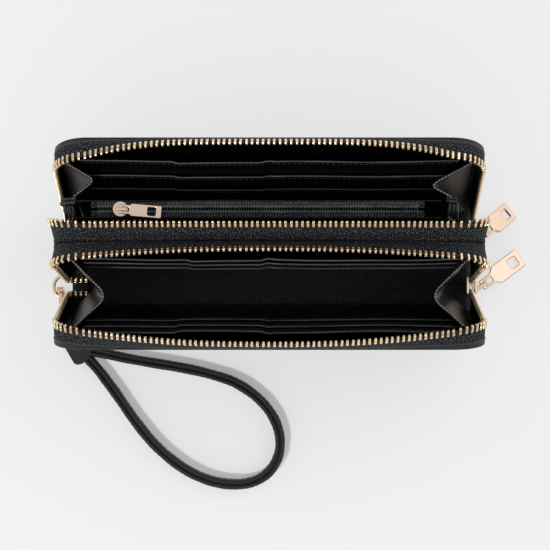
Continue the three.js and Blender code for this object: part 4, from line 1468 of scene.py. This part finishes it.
def pullHoles(pull):
    hole, holeHalf = pull["hole"], pull["holeHalf"]
    slot = [(pull["bar"], -pull["slotHalf"]), (pull["slot"], -pull["slotHalf"]),
            (pull["slot"], pull["slotHalf"]), (pull["bar"], pull["slotHalf"])]
    window = [(hole, -holeHalf), (hole + 2 * holeHalf, -holeHalf),
              (hole + 2 * holeHalf, holeHalf), (hole, holeHalf)]
    return [[p * mm for p in filleted(slot, 0.5)], [p * mm for p in filleted(window, 0.9)]]


# pulls in millimetres from the slider's bar
outerPull = {
    "bar": 0.8, "slot": 5.9, "slotHalf": 1.5, "neck": 2.7, "shoulder": 9, "half": 5,
    "length": 24.8, "hole": 17.2, "holeHalf": 2.5, "thickness": 1.8, "corner": 0.9, "bevel": 0.5,
}
coinPull = {
    "bar": 0.6, "slot": 4.1, "slotHalf": 1.1, "neck": 2.2, "shoulder": 5.2, "half": 3,
    "length": 19.4, "hole": 12.8, "holeHalf": 2, "thickness": 1.3, "corner": 0.6, "bevel": 0.3,
}


def makePull(node, pull, yaw, pitch, material):
    name = f"{node}_plate"
    part = plateMesh(
        name, pullOutline(pull), pullHoles(pull), pull["thickness"] * mm, pull["bevel"] * mm
    )
    turned = Matrix.Rotation(math.radians(yaw), 4, "Z") @ Matrix.Rotation(math.radians(pitch), 4, "Y")
    place = Matrix.Translation(jointPlaces[f"{node}_swing"]) @ turned
    piece = weighted(meshPiece(name, *moved(part, place), material))
    settle(piece, node, "rose_gold", node)


def makeMetal():
    roseGold, paleGold = materials["roseGold"], materials["paleGold"]
    makePull("front_pull", outerPull, 36, 13.8, roseGold)
    makePull("back_pull", outerPull, 38.4, 42, roseGold)
    makePull("coin_pull", coinPull, -5, 0, roseGold)
    for slider in ("front_slider", "back_slider"):
        roundedCopy(slider, paleGold, "pale_gold", slider, 0.00045)
    roundedCopy("coin_slider", roseGold, "rose_gold", "coin_slider", 0.0003)
    for stop in ("front_bottom_stop", "back_bottom_stop"):
        roundedCopy(stop, paleGold, "pale_gold", "spine", 0.0004)
    roundedCopy("clasp_hook", roseGold, "rose_gold", "clasp", 0.0006)
    roundedCopy("clasp_gate", roseGold, "rose_gold", "gate", 0.0004)
    eye = roundedCopy("clasp_eye", roseGold, "rose_gold", "strap", 0.0004)
    makeRing(paleGold)
    roundedCopy("ring_tab", materials["leather"], "leather", "spine", 0.0006)
    keeper = roundedCopy("strap_keeper", materials["strapLeather"], "strap_leather", "strap", 0.0008)
    return eye, keeper


def makeRing(material):
    ring = {"bar": (-0.0975, -0.013, 0.0045), "half": 0.006, "reach": 0.0055, "corner": 0.0012,
            "wire": 0.0009}
    half, corner = ring["half"], ring["corner"]
    # the straight bar, its two soft corners and the bow
    bar = [(0, mix(corner - half, half - corner, k / 8)) for k in range(9)]
    turn = [(-corner * 0.3, half - corner * 0.3), (-corner, half)]
    bow = []
    for angle in np.linspace(math.pi / 2, 3 * math.pi / 2, 29):
        bow.append((half * math.cos(angle) - ring["reach"], half * math.sin(angle)))
    path = [*bar, *turn, *bow, *((x, -y) for x, y in reversed(turn))]
    lying = [Vector((x, y, 0)) + Vector(ring["bar"]) for x, y in path]
    wire = meshPiece("ring_wire", *wireTube(lying, ring["wire"], 16, ring=True), material)
    settle(wire, "ring", "pale_gold", "d_ring")


# putting it together

makeCamera()
makeMaterials()
strapBand, strapSeams, strapPath = makeStrap()
makeStudio([strapBand, strapSeams])
print("camera, strap, materials and lights made")
for rimName in rims:
    makeRim(rimName)
print("rims and teeth made")
makeCover("front", 1)
makeCover("back", -1)
makeWall()
makeSpine()
print("covers, wall and spine made")
for tierName in tiers:
    makeCardTiers(tierName)
for fanName, fan in fans.items():
    makeFan(fanName, fan)
makeFoldRolls()
print("pockets and gussets made")
makeCoinZip()
claspEye, keeper = makeMetal()
print("coin zip, metal and strap hardware made")
